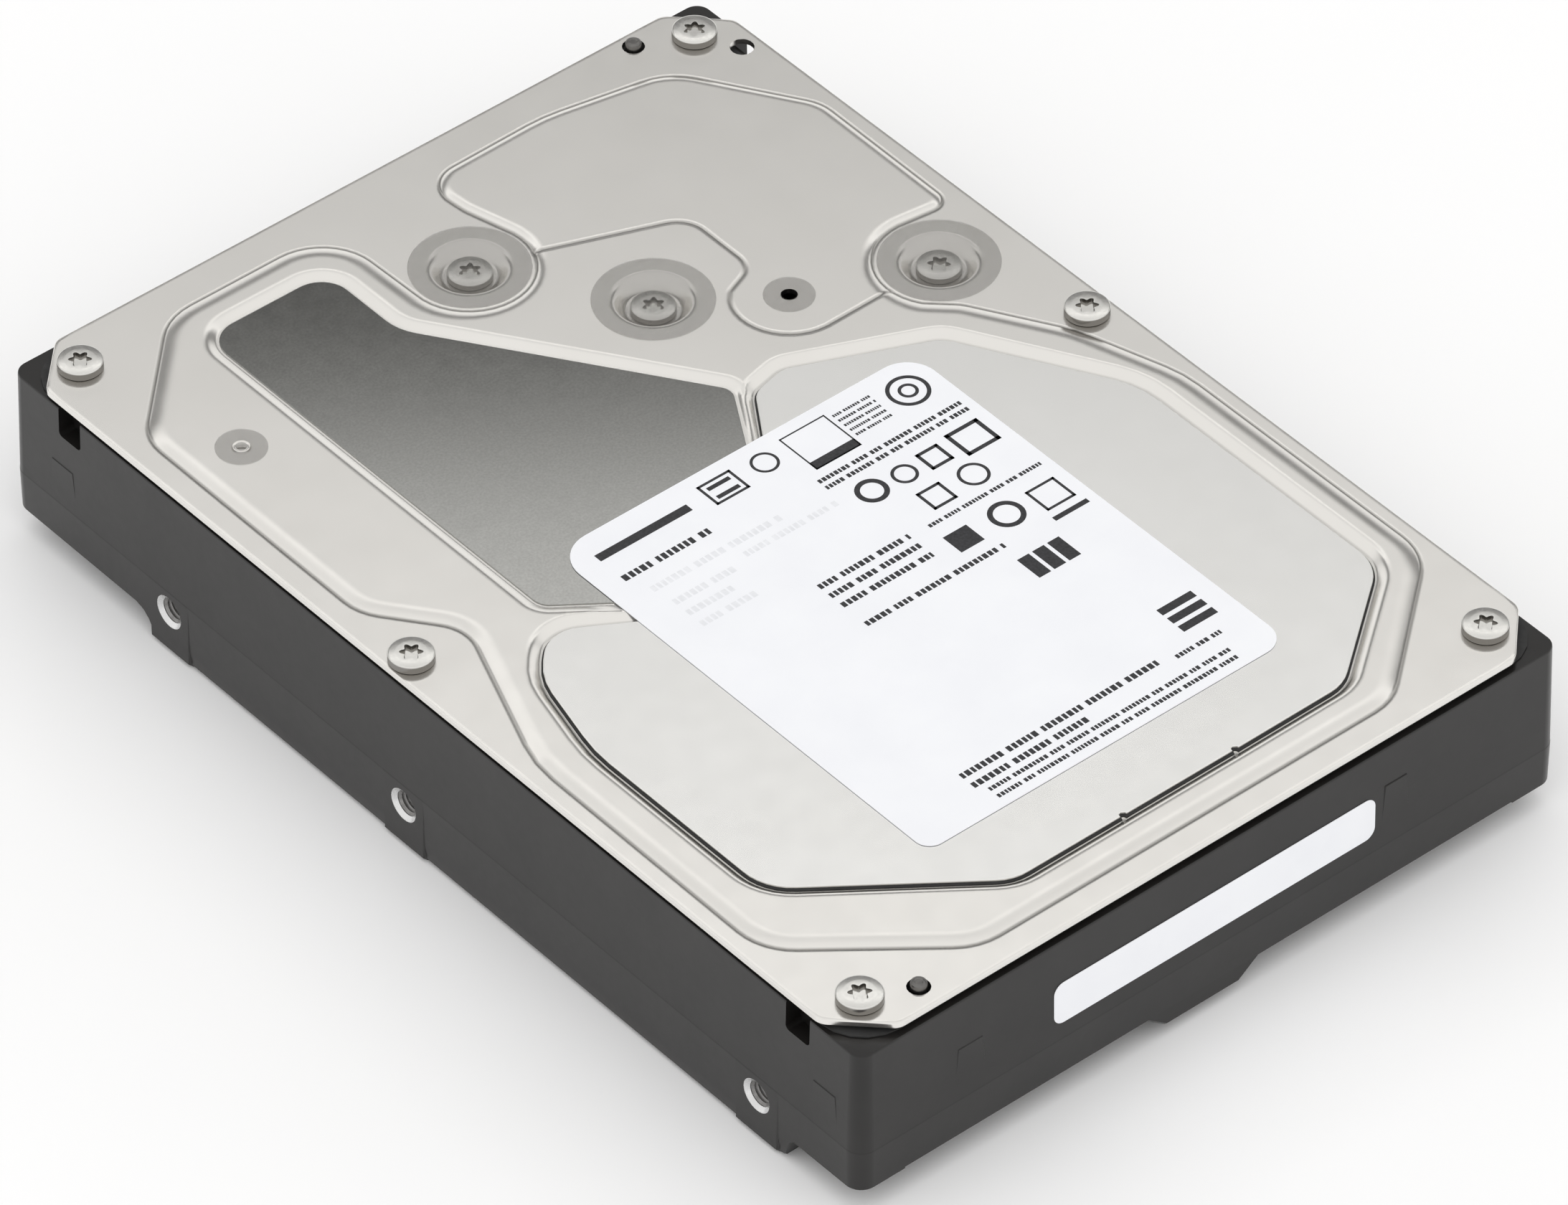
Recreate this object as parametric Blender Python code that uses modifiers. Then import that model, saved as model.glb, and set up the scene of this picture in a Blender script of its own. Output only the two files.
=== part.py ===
"""A 3.5 inch hard disk drive: die-cast body, stamped cover, disk pack, head stack, voice coil motor and board.

Every value is in millimetres; the helpers turn it into metres. The drive stands on its rails, with +Z up, the
connector end at +Y and the plain front at -Y.
"""

import math

import bmesh
import bpy
from mathutils import Vector

MM = 0.001
ARC_STEP = math.radians(18)
LOOSE = 0.05

# Overall size, from the 3.5 inch form factor.
WIDTH = 101.6
LENGTH = 147.0
HALF_W = WIDTH / 2
HALF_L = LENGTH / 2

# Body levels.
END_Z = 4.1
PARTING_Z = 9.4
CAST_TOP = 23.5
FLOOR_Z = 6.2
CORNER_R = 2.2
DRAFT = 0.3
RAIL_CHAMFER = 0.7
RAIL_W = 6.6
RAIL_FRONT = -60.5
RAIL_REAR = 48.4

# Mounting holes of the form factor.
SIDE_HOLE_Z = 6.35
SIDE_HOLES_Y = (45.0, 3.4, -56.6)
BASE_HOLE_X = 47.625
BASE_HOLES_Y = (32.22, -12.23)
THREAD_R = 1.5
SINK_R = 2.1

# Cover levels.
SHEET = 0.7
RIM_TOP = 25.0
RAISED_TOP = 25.4
POCKET_TOP = 24.5
COVER_X = (-50.6, 50.3)
COVER_Y = (-72.7, 72.5)
COVER_CORNER = 6.0
DIMPLE_R = 4.5
DIMPLE_FLOOR = 23.6
HEAD_TOP = 26.1
HEAD_R = 2.65
SHANK_R = 1.3

COVER_SCREWS = ((-45.2, 67.1), (44.8, 67.2), (-47.7, 5.2), (46.9, 1.0), (-45.3, -67.1), (44.8, -67.2))
POSTS = ((38.2, 70.3), (-39.3, -69.7))
YOKE_SCREW_REAR = (-1.1, 52.1)
YOKE_SCREW_SIDE = (40.1, 18.6)
BREATHER = (23.1, 24.8)
TEST_PORT = (-40.2, 44.4)
TOOL_HOLE = (47.7, 62.1)
INNER_PAD_R = 7.65
DAMPER_TOP = 24.95
DAMPER_GAP = 0.6
LABEL_X = (-24.9, 27.2)
LABEL_Y = (-54.5, 8.5)
SEAL_R = 7.1
SMALL_SEAL_R = 3.0

# Motor, disks and heads.
SPINDLE = (0.0, -22.6)
PIVOT = (10.9, 34.1)
DISK_R = 47.5
DISK_BORE_R = 12.7
DISK_T = 0.8
DISK_PITCH = 2.85
DISK_Z = 9.0
DISK_COUNT = 5
SHROUD_R = 48.6
HUB_R = 12.4
ARM_T = 0.9
ARM_REACH = 30.5
HEAD_REACH = 52.0
PARK_ANGLE = math.radians(204)
COIL_Z = (13.4, 16.0)
YOKE_ARC = (math.radians(6), math.radians(80))
YOKE_R = (14.0, 30.0)
LATCH_PIN = (41.0, 27.5)
INNER_SCREWS = (YOKE_SCREW_REAR, PIVOT, YOKE_SCREW_SIDE)

# Circuit board.
BOARD_Z = (2.3, 3.3)
BOARD_SCREWS = ((-40.5, 68.0), (40.5, 44.0), (-40.5, -23.0), (40.5, -23.0))

COLOURS = {
    "black_casting": ((0.012, 0.012, 0.013), 0.3, 0.5),
    "plated_steel": ((0.62, 0.60, 0.57), 1.0, 0.3),
    "polished_disk": ((0.75, 0.74, 0.73), 1.0, 0.06),
    "machined_aluminium": ((0.6, 0.6, 0.61), 1.0, 0.35),
    "screw_steel": ((0.66, 0.65, 0.63), 1.0, 0.28),
    "dark_sheet": ((0.10, 0.10, 0.098), 0.6, 0.5),
    "label_paper": ((0.86, 0.87, 0.9), 0.0, 0.5),
    "seal_film": ((0.45, 0.45, 0.44), 0.2, 0.35),
    "gasket_rubber": ((0.02, 0.02, 0.02), 0.0, 0.8),
    "board_green": ((0.01, 0.06, 0.035), 0.0, 0.4),
    "insulator_foam": ((0.05, 0.05, 0.055), 0.0, 0.9),
    "black_plastic": ((0.015, 0.015, 0.015), 0.0, 0.45),
    "ramp_plastic": ((0.75, 0.72, 0.62), 0.0, 0.45),
    "magnet_nickel": ((0.55, 0.54, 0.52), 1.0, 0.22),
    "copper_wire": ((0.65, 0.26, 0.11), 1.0, 0.4),
    "flex_film": ((0.55, 0.27, 0.06), 0.0, 0.3),
    "filter_cloth": ((0.8, 0.8, 0.78), 0.0, 0.95),
}


def clear_scene():
    for obj in list(bpy.data.objects):
        bpy.data.objects.remove(obj)


def collection(name):
    made = bpy.data.collections.new(name)
    bpy.context.scene.collection.children.link(made)
    return made


def material(name):
    colour, metallic, roughness = COLOURS[name]
    made = bpy.data.materials.get(name) or bpy.data.materials.new(name)
    made.use_nodes = True
    shader = made.node_tree.nodes["Principled BSDF"]
    shader.inputs["Base Color"].default_value = (*colour, 1.0)
    shader.inputs["Metallic"].default_value = metallic
    shader.inputs["Roughness"].default_value = roughness
    return made


def add(name, mesh, paint, at=(0.0, 0.0)):
    """Link a mesh as a named object. Its origin goes to the plan point at, in millimetres."""
    made = bpy.data.objects.new(name, mesh)
    if paint:
        mesh.materials.append(material(paint))
        DRIVE.objects.link(made)
    else:
        made.display_type = "WIRE"
        made.hide_render = True
        CUTTERS.objects.link(made)
    offset = Vector((at[0] * MM, at[1] * MM, 0.0))
    for vertex in mesh.vertices:
        vertex.co -= offset
    made.location = offset
    return made


def polar(centre, radius, angle):
    return (centre[0] + radius * math.cos(angle), centre[1] + radius * math.sin(angle))


def arc(centre, radius, start, end, steps=None):
    count = steps or max(2, round(abs(end - start) / ARC_STEP))
    return [polar(centre, radius, start + (end - start) * i / count) for i in range(count + 1)]


def rounded(corners):
    """Outline through corners (x, y, radius), each turned into an arc. A list of points among them stays as it is."""
    points = []
    for i, corner in enumerate(corners):
        if isinstance(corner, list):
            points += corner
            continue
        x, y, radius = corner
        here = Vector((x, y))
        earlier = corners[i - 1]
        later = corners[(i + 1) % len(corners)]
        before = Vector(earlier[-1] if isinstance(earlier, list) else earlier[:2]) - here
        after = Vector(later[0] if isinstance(later, list) else later[:2]) - here
        before.normalize()
        after.normalize()
        half = before.angle(after) / 2
        if radius == 0 or half > math.radians(88):
            points.append((x, y))
            continue
        reach = radius / math.tan(half)
        centre = here + (before + after).normalized() * radius / math.sin(half)
        start = here + before * reach - centre
        swing = math.pi - 2 * half
        turn = swing if start.y * before.x - start.x * before.y > 0 else -swing
        first = math.atan2(start.y, start.x)
        points += arc(centre, radius, first, first + turn)
    return points


def grown(outline, by):
    """The outline with each point moved outward by a distance, along its own corner's bisector."""
    area = sum(a[0] * b[1] - b[0] * a[1] for a, b in zip(outline, outline[1:] + outline[:1]))
    outward = by if area > 0 else -by
    moved = []
    for i, (x, y) in enumerate(outline):
        here = Vector((x, y))
        before = (here - Vector(outline[i - 1])).normalized()
        after = (Vector(outline[(i + 1) % len(outline)]) - here).normalized()
        along = (before + after).normalized()
        reach = outward / max(along.dot(before), 0.5)
        moved.append((x + along.y * reach, y - along.x * reach))
    return moved


def plate(name, outline, bottom, top, paint=None, at=(0.0, 0.0)):
    """A flat outline with a thickness: a filled 2D curve, made a welded mesh."""
    curve = bpy.data.curves.new(name, "CURVE")
    curve.dimensions = "2D"
    curve.fill_mode = "BOTH"
    curve.extrude = (top - bottom) / 2 * MM
    spline = curve.splines.new("POLY")
    spline.points.add(len(outline) - 1)
    spline.use_cyclic_u = True
    for point, (x, y) in zip(spline.points, outline):
        point.co = (x * MM, y * MM, 0.0, 1.0)
    guide = bpy.data.objects.new(name + "_outline", curve)
    bpy.context.scene.collection.objects.link(guide)
    graph = bpy.context.evaluated_depsgraph_get()
    mesh = bpy.data.meshes.new_from_object(guide.evaluated_get(graph))
    bpy.data.objects.remove(guide)
    mesh.name = name
    shape = bmesh.new()
    shape.from_mesh(mesh)
    bmesh.ops.remove_doubles(shape, verts=shape.verts, dist=1e-6)
    bmesh.ops.translate(shape, verts=shape.verts, vec=(0, 0, (top + bottom) / 2 * MM))
    bmesh.ops.recalc_face_normals(shape, faces=shape.faces)
    shape.to_mesh(mesh)
    shape.free()
    return add(name, mesh, paint, at)


def box(name, x, y, z, paint=None, at=(0.0, 0.0)):
    mesh = bpy.data.meshes.new(name)
    shape = bmesh.new()
    bmesh.ops.create_cube(shape, size=1.0)
    size = ((x[1] - x[0]) * MM, (y[1] - y[0]) * MM, (z[1] - z[0]) * MM)
    middle = ((x[0] + x[1]) / 2 * MM, (y[0] + y[1]) / 2 * MM, (z[0] + z[1]) / 2 * MM)
    bmesh.ops.scale(shape, verts=shape.verts, vec=size)
    bmesh.ops.translate(shape, verts=shape.verts, vec=middle)
    shape.to_mesh(mesh)
    shape.free()
    return add(name, mesh, paint, at)


def drum(name, centre, radius, bottom, top, sides=32, paint=None, top_radius=None, at=(0.0, 0.0)):
    """An upright cylinder, or a cone if top_radius is given."""
    mesh = bpy.data.meshes.new(name)
    shape = bmesh.new()
    ends = (radius * MM, (radius if top_radius is None else top_radius) * MM)
    depth = (top - bottom) * MM
    bmesh.ops.create_cone(
        shape, cap_ends=True, segments=sides, radius1=ends[0], radius2=ends[1], depth=depth
    )
    middle = (centre[0] * MM, centre[1] * MM, (top + bottom) / 2 * MM)
    bmesh.ops.translate(shape, verts=shape.verts, vec=middle)
    shape.to_mesh(mesh)
    shape.free()
    return add(name, mesh, paint, at)


def lying_drum(name, middle, radius, length, sides=20, end_radius=None):
    """A cylinder along X, for the side holes. A cone narrows towards the middle of the drive."""
    outer = drum(name, (0, 0), radius, -length / 2, length / 2, sides, top_radius=end_radius)
    outer.rotation_euler = (0.0, math.radians(-90 if middle[0] > 0 else 90), 0.0)
    outer.location = [value * MM for value in middle]
    return outer


def turned(name, centre, profile, paint=None, sides=48):
    """A solid of revolution about an upright axis: the profile runs down its outer side, from axis to axis."""
    mesh = bpy.data.meshes.new(name)
    mesh.from_pydata(
        [(radius * MM, 0.0, height * MM) for radius, height in profile],
        [(i, i + 1) for i in range(len(profile) - 1)],
        [],
    )
    made = add(name, mesh, paint)
    made.location = (centre[0] * MM, centre[1] * MM, 0.0)
    spin = made.modifiers.new("turn", "SCREW")
    spin.steps = sides
    spin.render_steps = sides
    spin.use_merge_vertices = True
    spin.merge_threshold = 1e-6
    spin.use_smooth_shade = False
    return made


def ring(name, centre, inner, outer, bottom, top, paint, sides=64):
    """A flat ring: a drum with its bore cut out."""
    made = drum(name, centre, outer, bottom, top, sides, paint, at=centre)
    bore = drum(name + "_bore", centre, inner, bottom - 1, top + 1, sides)
    cut(made, bore)
    return made


def boolean(target, other, operation):
    step = target.modifiers.new(f"{operation.lower()} {other.name}", "BOOLEAN")
    step.operation = operation
    step.object = other


def cut(target, *others):
    for other in others:
        boolean(target, other, "DIFFERENCE")


def join(target, *others):
    for other in others:
        boolean(target, other, "UNION")


def taper(obj, inset, at_top):
    """Draw one end of an upright plate in by inset on every side, for the casting draft."""
    heights = [vertex.co.z for vertex in obj.data.vertices]
    level = max(heights) if at_top else min(heights)
    for vertex in obj.data.vertices:
        if abs(vertex.co.z - level) < 1e-6:
            vertex.co.x -= math.copysign(inset * MM, vertex.co.x)
            vertex.co.y -= math.copysign(inset * MM, vertex.co.y)


def rectangle(x, y, radius=0.0):
    return rounded([(x[0], y[0], radius), (x[1], y[0], radius), (x[1], y[1], radius), (x[0], y[1], radius)])


def body_outline(inset):
    side = HALF_W - inset
    end = HALF_L - inset
    return rectangle((-side, side), (-end, end), CORNER_R)


def cavity_outline():
    """The room for the head stack and its motor, behind the disks."""
    return rounded([
        (-30, -20, 0), (30, -20, 0), (37, -4, 2), (41, 6, 2), (46.2, 9, 2), (46.2, 50, 3), (42, 59.5, 3),
        (34, 65.5, 3), (-37, 65.5, 3), (-46.2, 56, 3), (-46.2, 14, 3), (-42, 10, 2), (-37, -2, 2),
    ])


def base_casting():
    lower = plate("base_casting", body_outline(0.0), 0.0, PARTING_Z, "black_casting")
    taper(lower, DRAFT, at_top=False)
    upper = plate("upper_body", body_outline(0.1), PARTING_Z - 0.01, CAST_TOP)
    taper(upper, DRAFT, at_top=True)
    join(lower, upper)
    cut_body_ends(lower)
    join_side_pads(lower)
    cut_rail_chamfers(lower)
    cut(lower, drum("shroud", SPINDLE, SHROUD_R, FLOOR_Z, CAST_TOP + 1, 80))
    cut(lower, plate("head_room", cavity_outline(), FLOOR_Z, CAST_TOP + 1))
    motor_boss = drum("motor_boss", SPINDLE, 14.5, 1.9, END_Z + 1, 40)
    join(lower, motor_boss)
    for i, (x, y) in enumerate(POSTS):
        join(lower, drum(f"post_{i}", (x, y), 0.95, CAST_TOP - 2, RIM_TOP + 0.8, 16, top_radius=0.85))
    for i, place in enumerate(COVER_SCREWS):
        cut(lower, drum(f"cover_thread_{i}", place, THREAD_R, 16.0, CAST_TOP + 1, 16))
    cut_mounting_holes(lower)
    cut_side_notches(lower)
    cut(lower, box("connector_gap", (-1.6, 43.0), (66.2, HALF_L + 1), (-1, 7.4)))
    for i, place in enumerate(BOARD_SCREWS):
        cut(lower, drum(f"board_thread_{i}", place, THREAD_R, 2.0, 5.8, 14))


def cut_body_ends(body):
    """Between the rails and past their ends, the underside stands clear of the table."""
    rail_x = HALF_W - RAIL_W
    cut(body, box("board_room", (-rail_x, rail_x), (-HALF_L - 1, HALF_L + 1), (-1, END_Z)))
    front = box("front_room", (-HALF_W - 1, HALF_W + 1), (-HALF_L - 1, RAIL_FRONT), (-1, END_Z - 0.4))
    rear = box("rear_room", (-HALF_W - 1, HALF_W + 1), (RAIL_REAR, HALF_L + 1), (-1, END_Z - 0.4))
    cut(body, front, rear)
    tab = plate("front_tab", [(-10, 1.0), (7.1, 1.0), (3.9, -1.5), (-6.8, -1.5)], 0.0, 5.0)
    tab.rotation_euler = (math.radians(90), 0.0, 0.0)
    tab.location = (0.0, (-HALF_L + 5.25) * MM, (END_Z - 0.9) * MM)
    join(body, tab)


def join_side_pads(body):
    """Flat upright lands round the side holes, where the wall below the parting line leans in."""
    for side in (-1, 1):
        for i, y in enumerate(SIDE_HOLES_Y):
            x = sorted((side * (HALF_W - 1), side * HALF_W))
            join(body, box(f"side_pad_{side}_{i}", x, (y - 3.3, y + 3.4), (0.2, PARTING_Z)))


def cut_rail_chamfers(body):
    for side in (-1, 1):
        wedge = box(f"rail_chamfer_{side}", (-1, 1), (-HALF_L - 1, HALF_L + 1), (-1, 1))
        wedge.location = (side * (HALF_W + math.sqrt(2) - RAIL_CHAMFER) * MM, 0.0, 0.0)
        wedge.rotation_euler = (0.0, math.radians(45), 0.0)
        cut(body, wedge)


def cut_mounting_holes(body):
    for side in (-1, 1):
        for i, y in enumerate(SIDE_HOLES_Y):
            name = f"side_hole_{side}_{i}"
            cut(body, lying_drum(name, (side * (HALF_W - 2), y, SIDE_HOLE_Z), THREAD_R, 6.4))
            sink = lying_drum(name + "_sink", (side * HALF_W, y, SIDE_HOLE_Z), SINK_R + 0.6, 1.2, 24, THREAD_R)
            cut(body, sink)
        for i, y in enumerate(BASE_HOLES_Y):
            place = (side * BASE_HOLE_X, y)
            cut(body, drum(f"base_hole_{side}_{i}", place, THREAD_R, -1.0, 3.9, 24))


def cut_side_notches(body):
    for side in (-1, 1):
        for i, y in enumerate(((60.6, 64.5), (-65.0, -61.1))):
            x = sorted((side * (HALF_W - 2.4), side * (HALF_W + 1)))
            cut(body, box(f"side_notch_{side}_{i}", x, y, (19.6, CAST_TOP + 1)))


def cover_outline():
    x, y, c = COVER_X, COVER_Y, COVER_CORNER
    return rounded([
        (x[0] + c, y[0], 2), (x[1] - c, y[0], 2), (x[1], y[0] + c, 2), (x[1], y[1] - c, 2),
        (x[1] - c, y[1], 2), (x[0] + c, y[1], 2), (x[0], y[1] - c, 2), (x[0], y[0] + c, 2),
    ])


def raised_outline():
    """The field of the cover that stands above its rim, with a round bay at two of the inner screws."""
    rear_bay = arc(YOKE_SCREW_REAR, INNER_PAD_R, math.radians(178), math.radians(370))
    side_bay = arc(YOKE_SCREW_SIDE, INNER_PAD_R, math.radians(78), math.radians(215))
    return rounded([
        (-47.3, 52.8, 7), (-32.6, 67.4, 8), (-9.2, 67.4, 7.5), rear_bay, (4.7, 60.0, 5), (4.0, 67.0, 4.2),
        (22.0, 67.3, 22), (38.2, 64.1, 8), (48.1, 48.4, 6), (47.8, 25.3, 2.2), side_bay, (37.0, 11.2, 5),
        (43.9, -0.4, 16), (48.2, -14.0, 16), (48.3, -53.8, 8), (29.4, -69.2, 8), (-30.4, -69.3, 8),
        (-48.4, -54.7, 8), (-48.2, -16.5, 18), (-39.9, 5.0, 5.5), (-47.4, 14.8, 7),
    ])


def damper_outline():
    return rounded([
        (-41.9, -47.4, 7), (-20.6, -63.7, 6), (27.2, -63.6, 6), (43.1, -51.6, 6), (43.1, -12, 12),
        (31.5, 8.2, 4), (14.5, 15.9, 3), (9.6, 14.8, 3), (1, 2, 3), (-5, -7, 5), (-20, -9.0, 5),
        (-33.4, -0.7, 4.5), (-38.8, -6.2, 10), (-41.9, -19, 22),
    ])


def sheet_outline():
    return rounded([
        (-31.4, 62.0, 3.8), (-14.1, 61.9, 3.8), (-14.1, 49.0, 7), (8.0, 16.8, 2), (2.4, 7.5, 2),
        (-3.8, -1.0, 3), (-8, -5.0, 3), (-19.5, -6.1, 4), (-31.4, 2.9, 2.4),
    ])


def top_cover():
    cover = plate("top_cover", cover_outline(), RIM_TOP - SHEET, RIM_TOP, "plated_steel")
    cut(cover, plate("raised_underside", grown(raised_outline(), -SHEET), RIM_TOP - 2, RAISED_TOP - SHEET))
    join(cover, plate("raised_field", raised_outline(), RAISED_TOP - SHEET, RAISED_TOP))
    for name, outline in (("plate", damper_outline()), ("sheet", sheet_outline())):
        pocket_wall = grown(outline, DAMPER_GAP + SHEET)
        join(cover, plate(name + "_pocket_wall", pocket_wall, POCKET_TOP - SHEET, RIM_TOP - 0.1))
    for name, outline in (("plate", damper_outline()), ("sheet", sheet_outline())):
        cut(cover, plate(name + "_pocket", grown(outline, DAMPER_GAP), POCKET_TOP, RAISED_TOP + 1))
    cut(cover, box("label_room", LABEL_X, LABEL_Y, (RIM_TOP - 0.04, RAISED_TOP + 1)))
    for i, place in enumerate(INNER_SCREWS):
        join(cover, drum(f"dimple_cup_{i}", place, DIMPLE_R + 0.5, DIMPLE_FLOOR - 0.6, RIM_TOP - 0.3, 32))
        cut(cover, drum(f"dimple_{i}", place, 3.2, DIMPLE_FLOOR, RAISED_TOP + 1, 32, top_radius=DIMPLE_R + 0.6))
        cut(cover, drum(f"dimple_hole_{i}", place, 1.6, DIMPLE_FLOOR - 2, DIMPLE_FLOOR + 1, 16))
    for i, place in enumerate(COVER_SCREWS):
        cut(cover, drum(f"cover_hole_{i}", place, 1.7, RIM_TOP - 2, RIM_TOP + 1, 16))
    for i, place in enumerate(POSTS):
        cut(cover, drum(f"post_hole_{i}", place, 1.3, RIM_TOP - 2, RIM_TOP + 1, 16))
    cut(cover, drum("tool_hole", TOOL_HOLE, 1.45, RIM_TOP - 2, RIM_TOP + 1, 20))
    cut(cover, drum("breather_hole", BREATHER, 1.0, RIM_TOP - 3, RIM_TOP + 2, 16))
    cut(cover, drum("port_hole", TEST_PORT, 1.0, RIM_TOP - 3, RIM_TOP + 2, 16))


def gasket():
    """A thin frame on the casting wall, between the shroud and the screws."""
    made = plate("cover_gasket", rectangle((-50.0, 50.0), (-72.2, 72.2), 6.0), 23.54, 23.7, "gasket_rubber")
    cut(made, drum("gasket_disk_side", SPINDLE, SHROUD_R + 0.1, 23, 25, 80))
    cut(made, plate("gasket_head_side", cavity_outline(), 23, 25))
    for i, place in enumerate(COVER_SCREWS):
        cut(made, drum(f"gasket_hole_{i}", place, 2.2, 23, 25, 16))
    for i, place in enumerate(POSTS):
        cut(made, drum(f"gasket_post_{i}", place, 1.4, 23, 25, 16))
    for side in (-1, 1):
        for i, y in enumerate(((60.2, 64.9), (-65.4, -60.7))):
            x = sorted((side * 47.9, side * 51.5))
            cut(made, box(f"gasket_notch_{side}_{i}", x, y, (23, 25)))


def dampers():
    plate("damper_plate", damper_outline(), POCKET_TOP + LOOSE, DAMPER_TOP, "plated_steel")
    plate("damper_sheet", sheet_outline(), POCKET_TOP + LOOSE, DAMPER_TOP - 0.25, "dark_sheet")


def labels():
    x, y = LABEL_X, LABEL_Y
    outline = rounded([(x[0], y[0], 2), (x[1], y[0], 3), (x[1], y[1], 4), (x[0], y[1], 4.5)])
    plate("main_label", outline, 25.0, 25.1, "label_paper")
    strip = plate("front_label", rectangle((-23.25, 23.25), (-2.9, 2.9), 1.4), -0.03, 0.03, "label_paper")
    lean = math.atan2(DRAFT, CAST_TOP - PARTING_Z)
    strip.rotation_euler = (math.radians(90) - lean, 0.0, 0.0)
    middle = 14.6
    face = HALF_L - 0.1 - (middle - PARTING_Z) * math.tan(lean)
    strip.location = (0.0, -(face + 0.05) * MM, middle * MM)


def screw(name, place, head_bottom, head_top, length, head_r=HEAD_R):
    """A low pan head with a star recess, on a plain shank."""
    profile = [
        (0.0, head_top), (head_r - 0.35, head_top), (head_r, head_top - 0.3), (head_r, head_bottom),
        (SHANK_R, head_bottom), (SHANK_R, head_bottom - length), (0.0, head_bottom - length),
    ]
    made = turned(name, place, profile, "screw_steel", 24)
    star = []
    for i in range(12):
        star.append(polar(place, 1.1 if i % 2 == 0 else 0.78, math.radians(30 * i)))
    cut(made, plate(name + "_recess", star, head_top - 0.6, head_top + 1))


def cover_screws():
    for i, place in enumerate(COVER_SCREWS):
        screw(f"cover_screw_{i + 1}", place, RIM_TOP + LOOSE, HEAD_TOP, 7.0)
    for i, place in enumerate(INNER_SCREWS):
        screw(f"inner_screw_{i + 1}", place, DIMPLE_FLOOR + LOOSE, 24.55, 4.0)


def seals():
    levels = (RIM_TOP, RAISED_TOP, RIM_TOP)
    for i, (place, level) in enumerate(zip(INNER_SCREWS, levels)):
        drum(f"screw_seal_{i + 1}", place, SEAL_R, level + 0.03, level + 0.11, 48, "seal_film")
    ring("breather_seal", BREATHER, 0.95, SMALL_SEAL_R, RAISED_TOP + 0.03, RAISED_TOP + 0.11, "seal_film", 32)
    drum("port_seal", TEST_PORT, SMALL_SEAL_R, RAISED_TOP + 0.03, RAISED_TOP + 0.11, 32, "seal_film")


def board_outline(inset=0.0):
    """The board covers the rear of the underside, with a round bay for the motor boss."""
    x = 43.6 - inset
    front = -27.0 + inset
    rear = 71.0 - inset
    bay = 16.4 + inset
    start = math.asin((front - SPINDLE[1]) / bay)
    outline = [(-x, rear), (-x, front)]
    outline += arc(SPINDLE, bay, math.pi - start, start)
    return outline + [(x, front), (x, rear)]


def circuit_board():
    board = plate("circuit_board", board_outline(), *BOARD_Z, "board_green")
    for i, place in enumerate(BOARD_SCREWS):
        cut(board, drum(f"board_hole_{i}", place, 1.7, 1, 5, 14))
    cut(board, box("board_connector_gap", (-2.0, 43.2), (65.4, 75), (1, 5)))
    foam = plate("board_insulator", board_outline(1.5), BOARD_Z[1] + 0.1, END_Z - 0.1, "insulator_foam")
    for i, place in enumerate(BOARD_SCREWS):
        cut(foam, drum(f"foam_hole_{i}", place, 3.5, 1, 6, 14))
    cut(foam, box("foam_connector_gap", (-3.0, 43.4), (64.4, 75), (1, 6)))
    box("controller_chip", (-18.0, -2.0), (22.0, 38.0), (1.2, BOARD_Z[0] - LOOSE), "black_plastic")
    for i, place in enumerate(BOARD_SCREWS):
        under_screw(f"board_screw_{i + 1}", place)


def under_screw(name, place):
    """A board screw, driven from below."""
    head = BOARD_Z[0] - LOOSE
    profile = [
        (0.0, head + 3.2), (SHANK_R, head + 3.2), (SHANK_R, head), (2.3, head), (2.3, head - 0.7),
        (2.0, head - 0.95), (0.0, head - 0.95),
    ]
    made = turned(name, place, profile, "screw_steel", 20)
    cut(made, drum(name + "_recess", place, 0.9, head - 2, head - 0.5, 6))


def sata_connector():
    """Power and data plug in one moulding, with an L-shaped tongue in each mouth."""
    x0, x1 = -0.6, 42.0
    made = box("sata_connector", (x0, x1), (66.6, 73.2), (1.3, 6.6), "black_plastic")
    for i, (left, right) in enumerate(((x0 + 1.3, x0 + 14.2), (x0 + 17.6, x1 - 1.3))):
        mouth = box(f"mouth_{i}", (left, right), (68.0, 75), (2.2, 5.8))
        cut(made, mouth)
        tongue = box(f"tongue_{i}", (left + 0.8, right - 0.8), (67.5, 72.6), (3.2, 4.4))
        foot = box(f"tongue_foot_{i}", (right - 1.9, right - 0.8), (67.5, 72.6), (3.2, 5.3))
        join(tongue, foot)
        join(made, tongue)


def hub_profile():
    """Flange, drum and shaft of the motor hub, hollow round the stator."""
    top = DISK_Z + DISK_PITCH * (DISK_COUNT - 1) + DISK_T / 2 + 0.2
    under = DISK_Z - DISK_T / 2 - LOOSE
    return [
        (0.0, top), (HUB_R, top), (HUB_R, under), (15.6, under), (15.6, under - 1.3), (11.2, under - 1.3),
        (11.2, 12.6), (2.4, 12.6), (2.4, 6.6), (0.0, 6.6),
    ]


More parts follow.
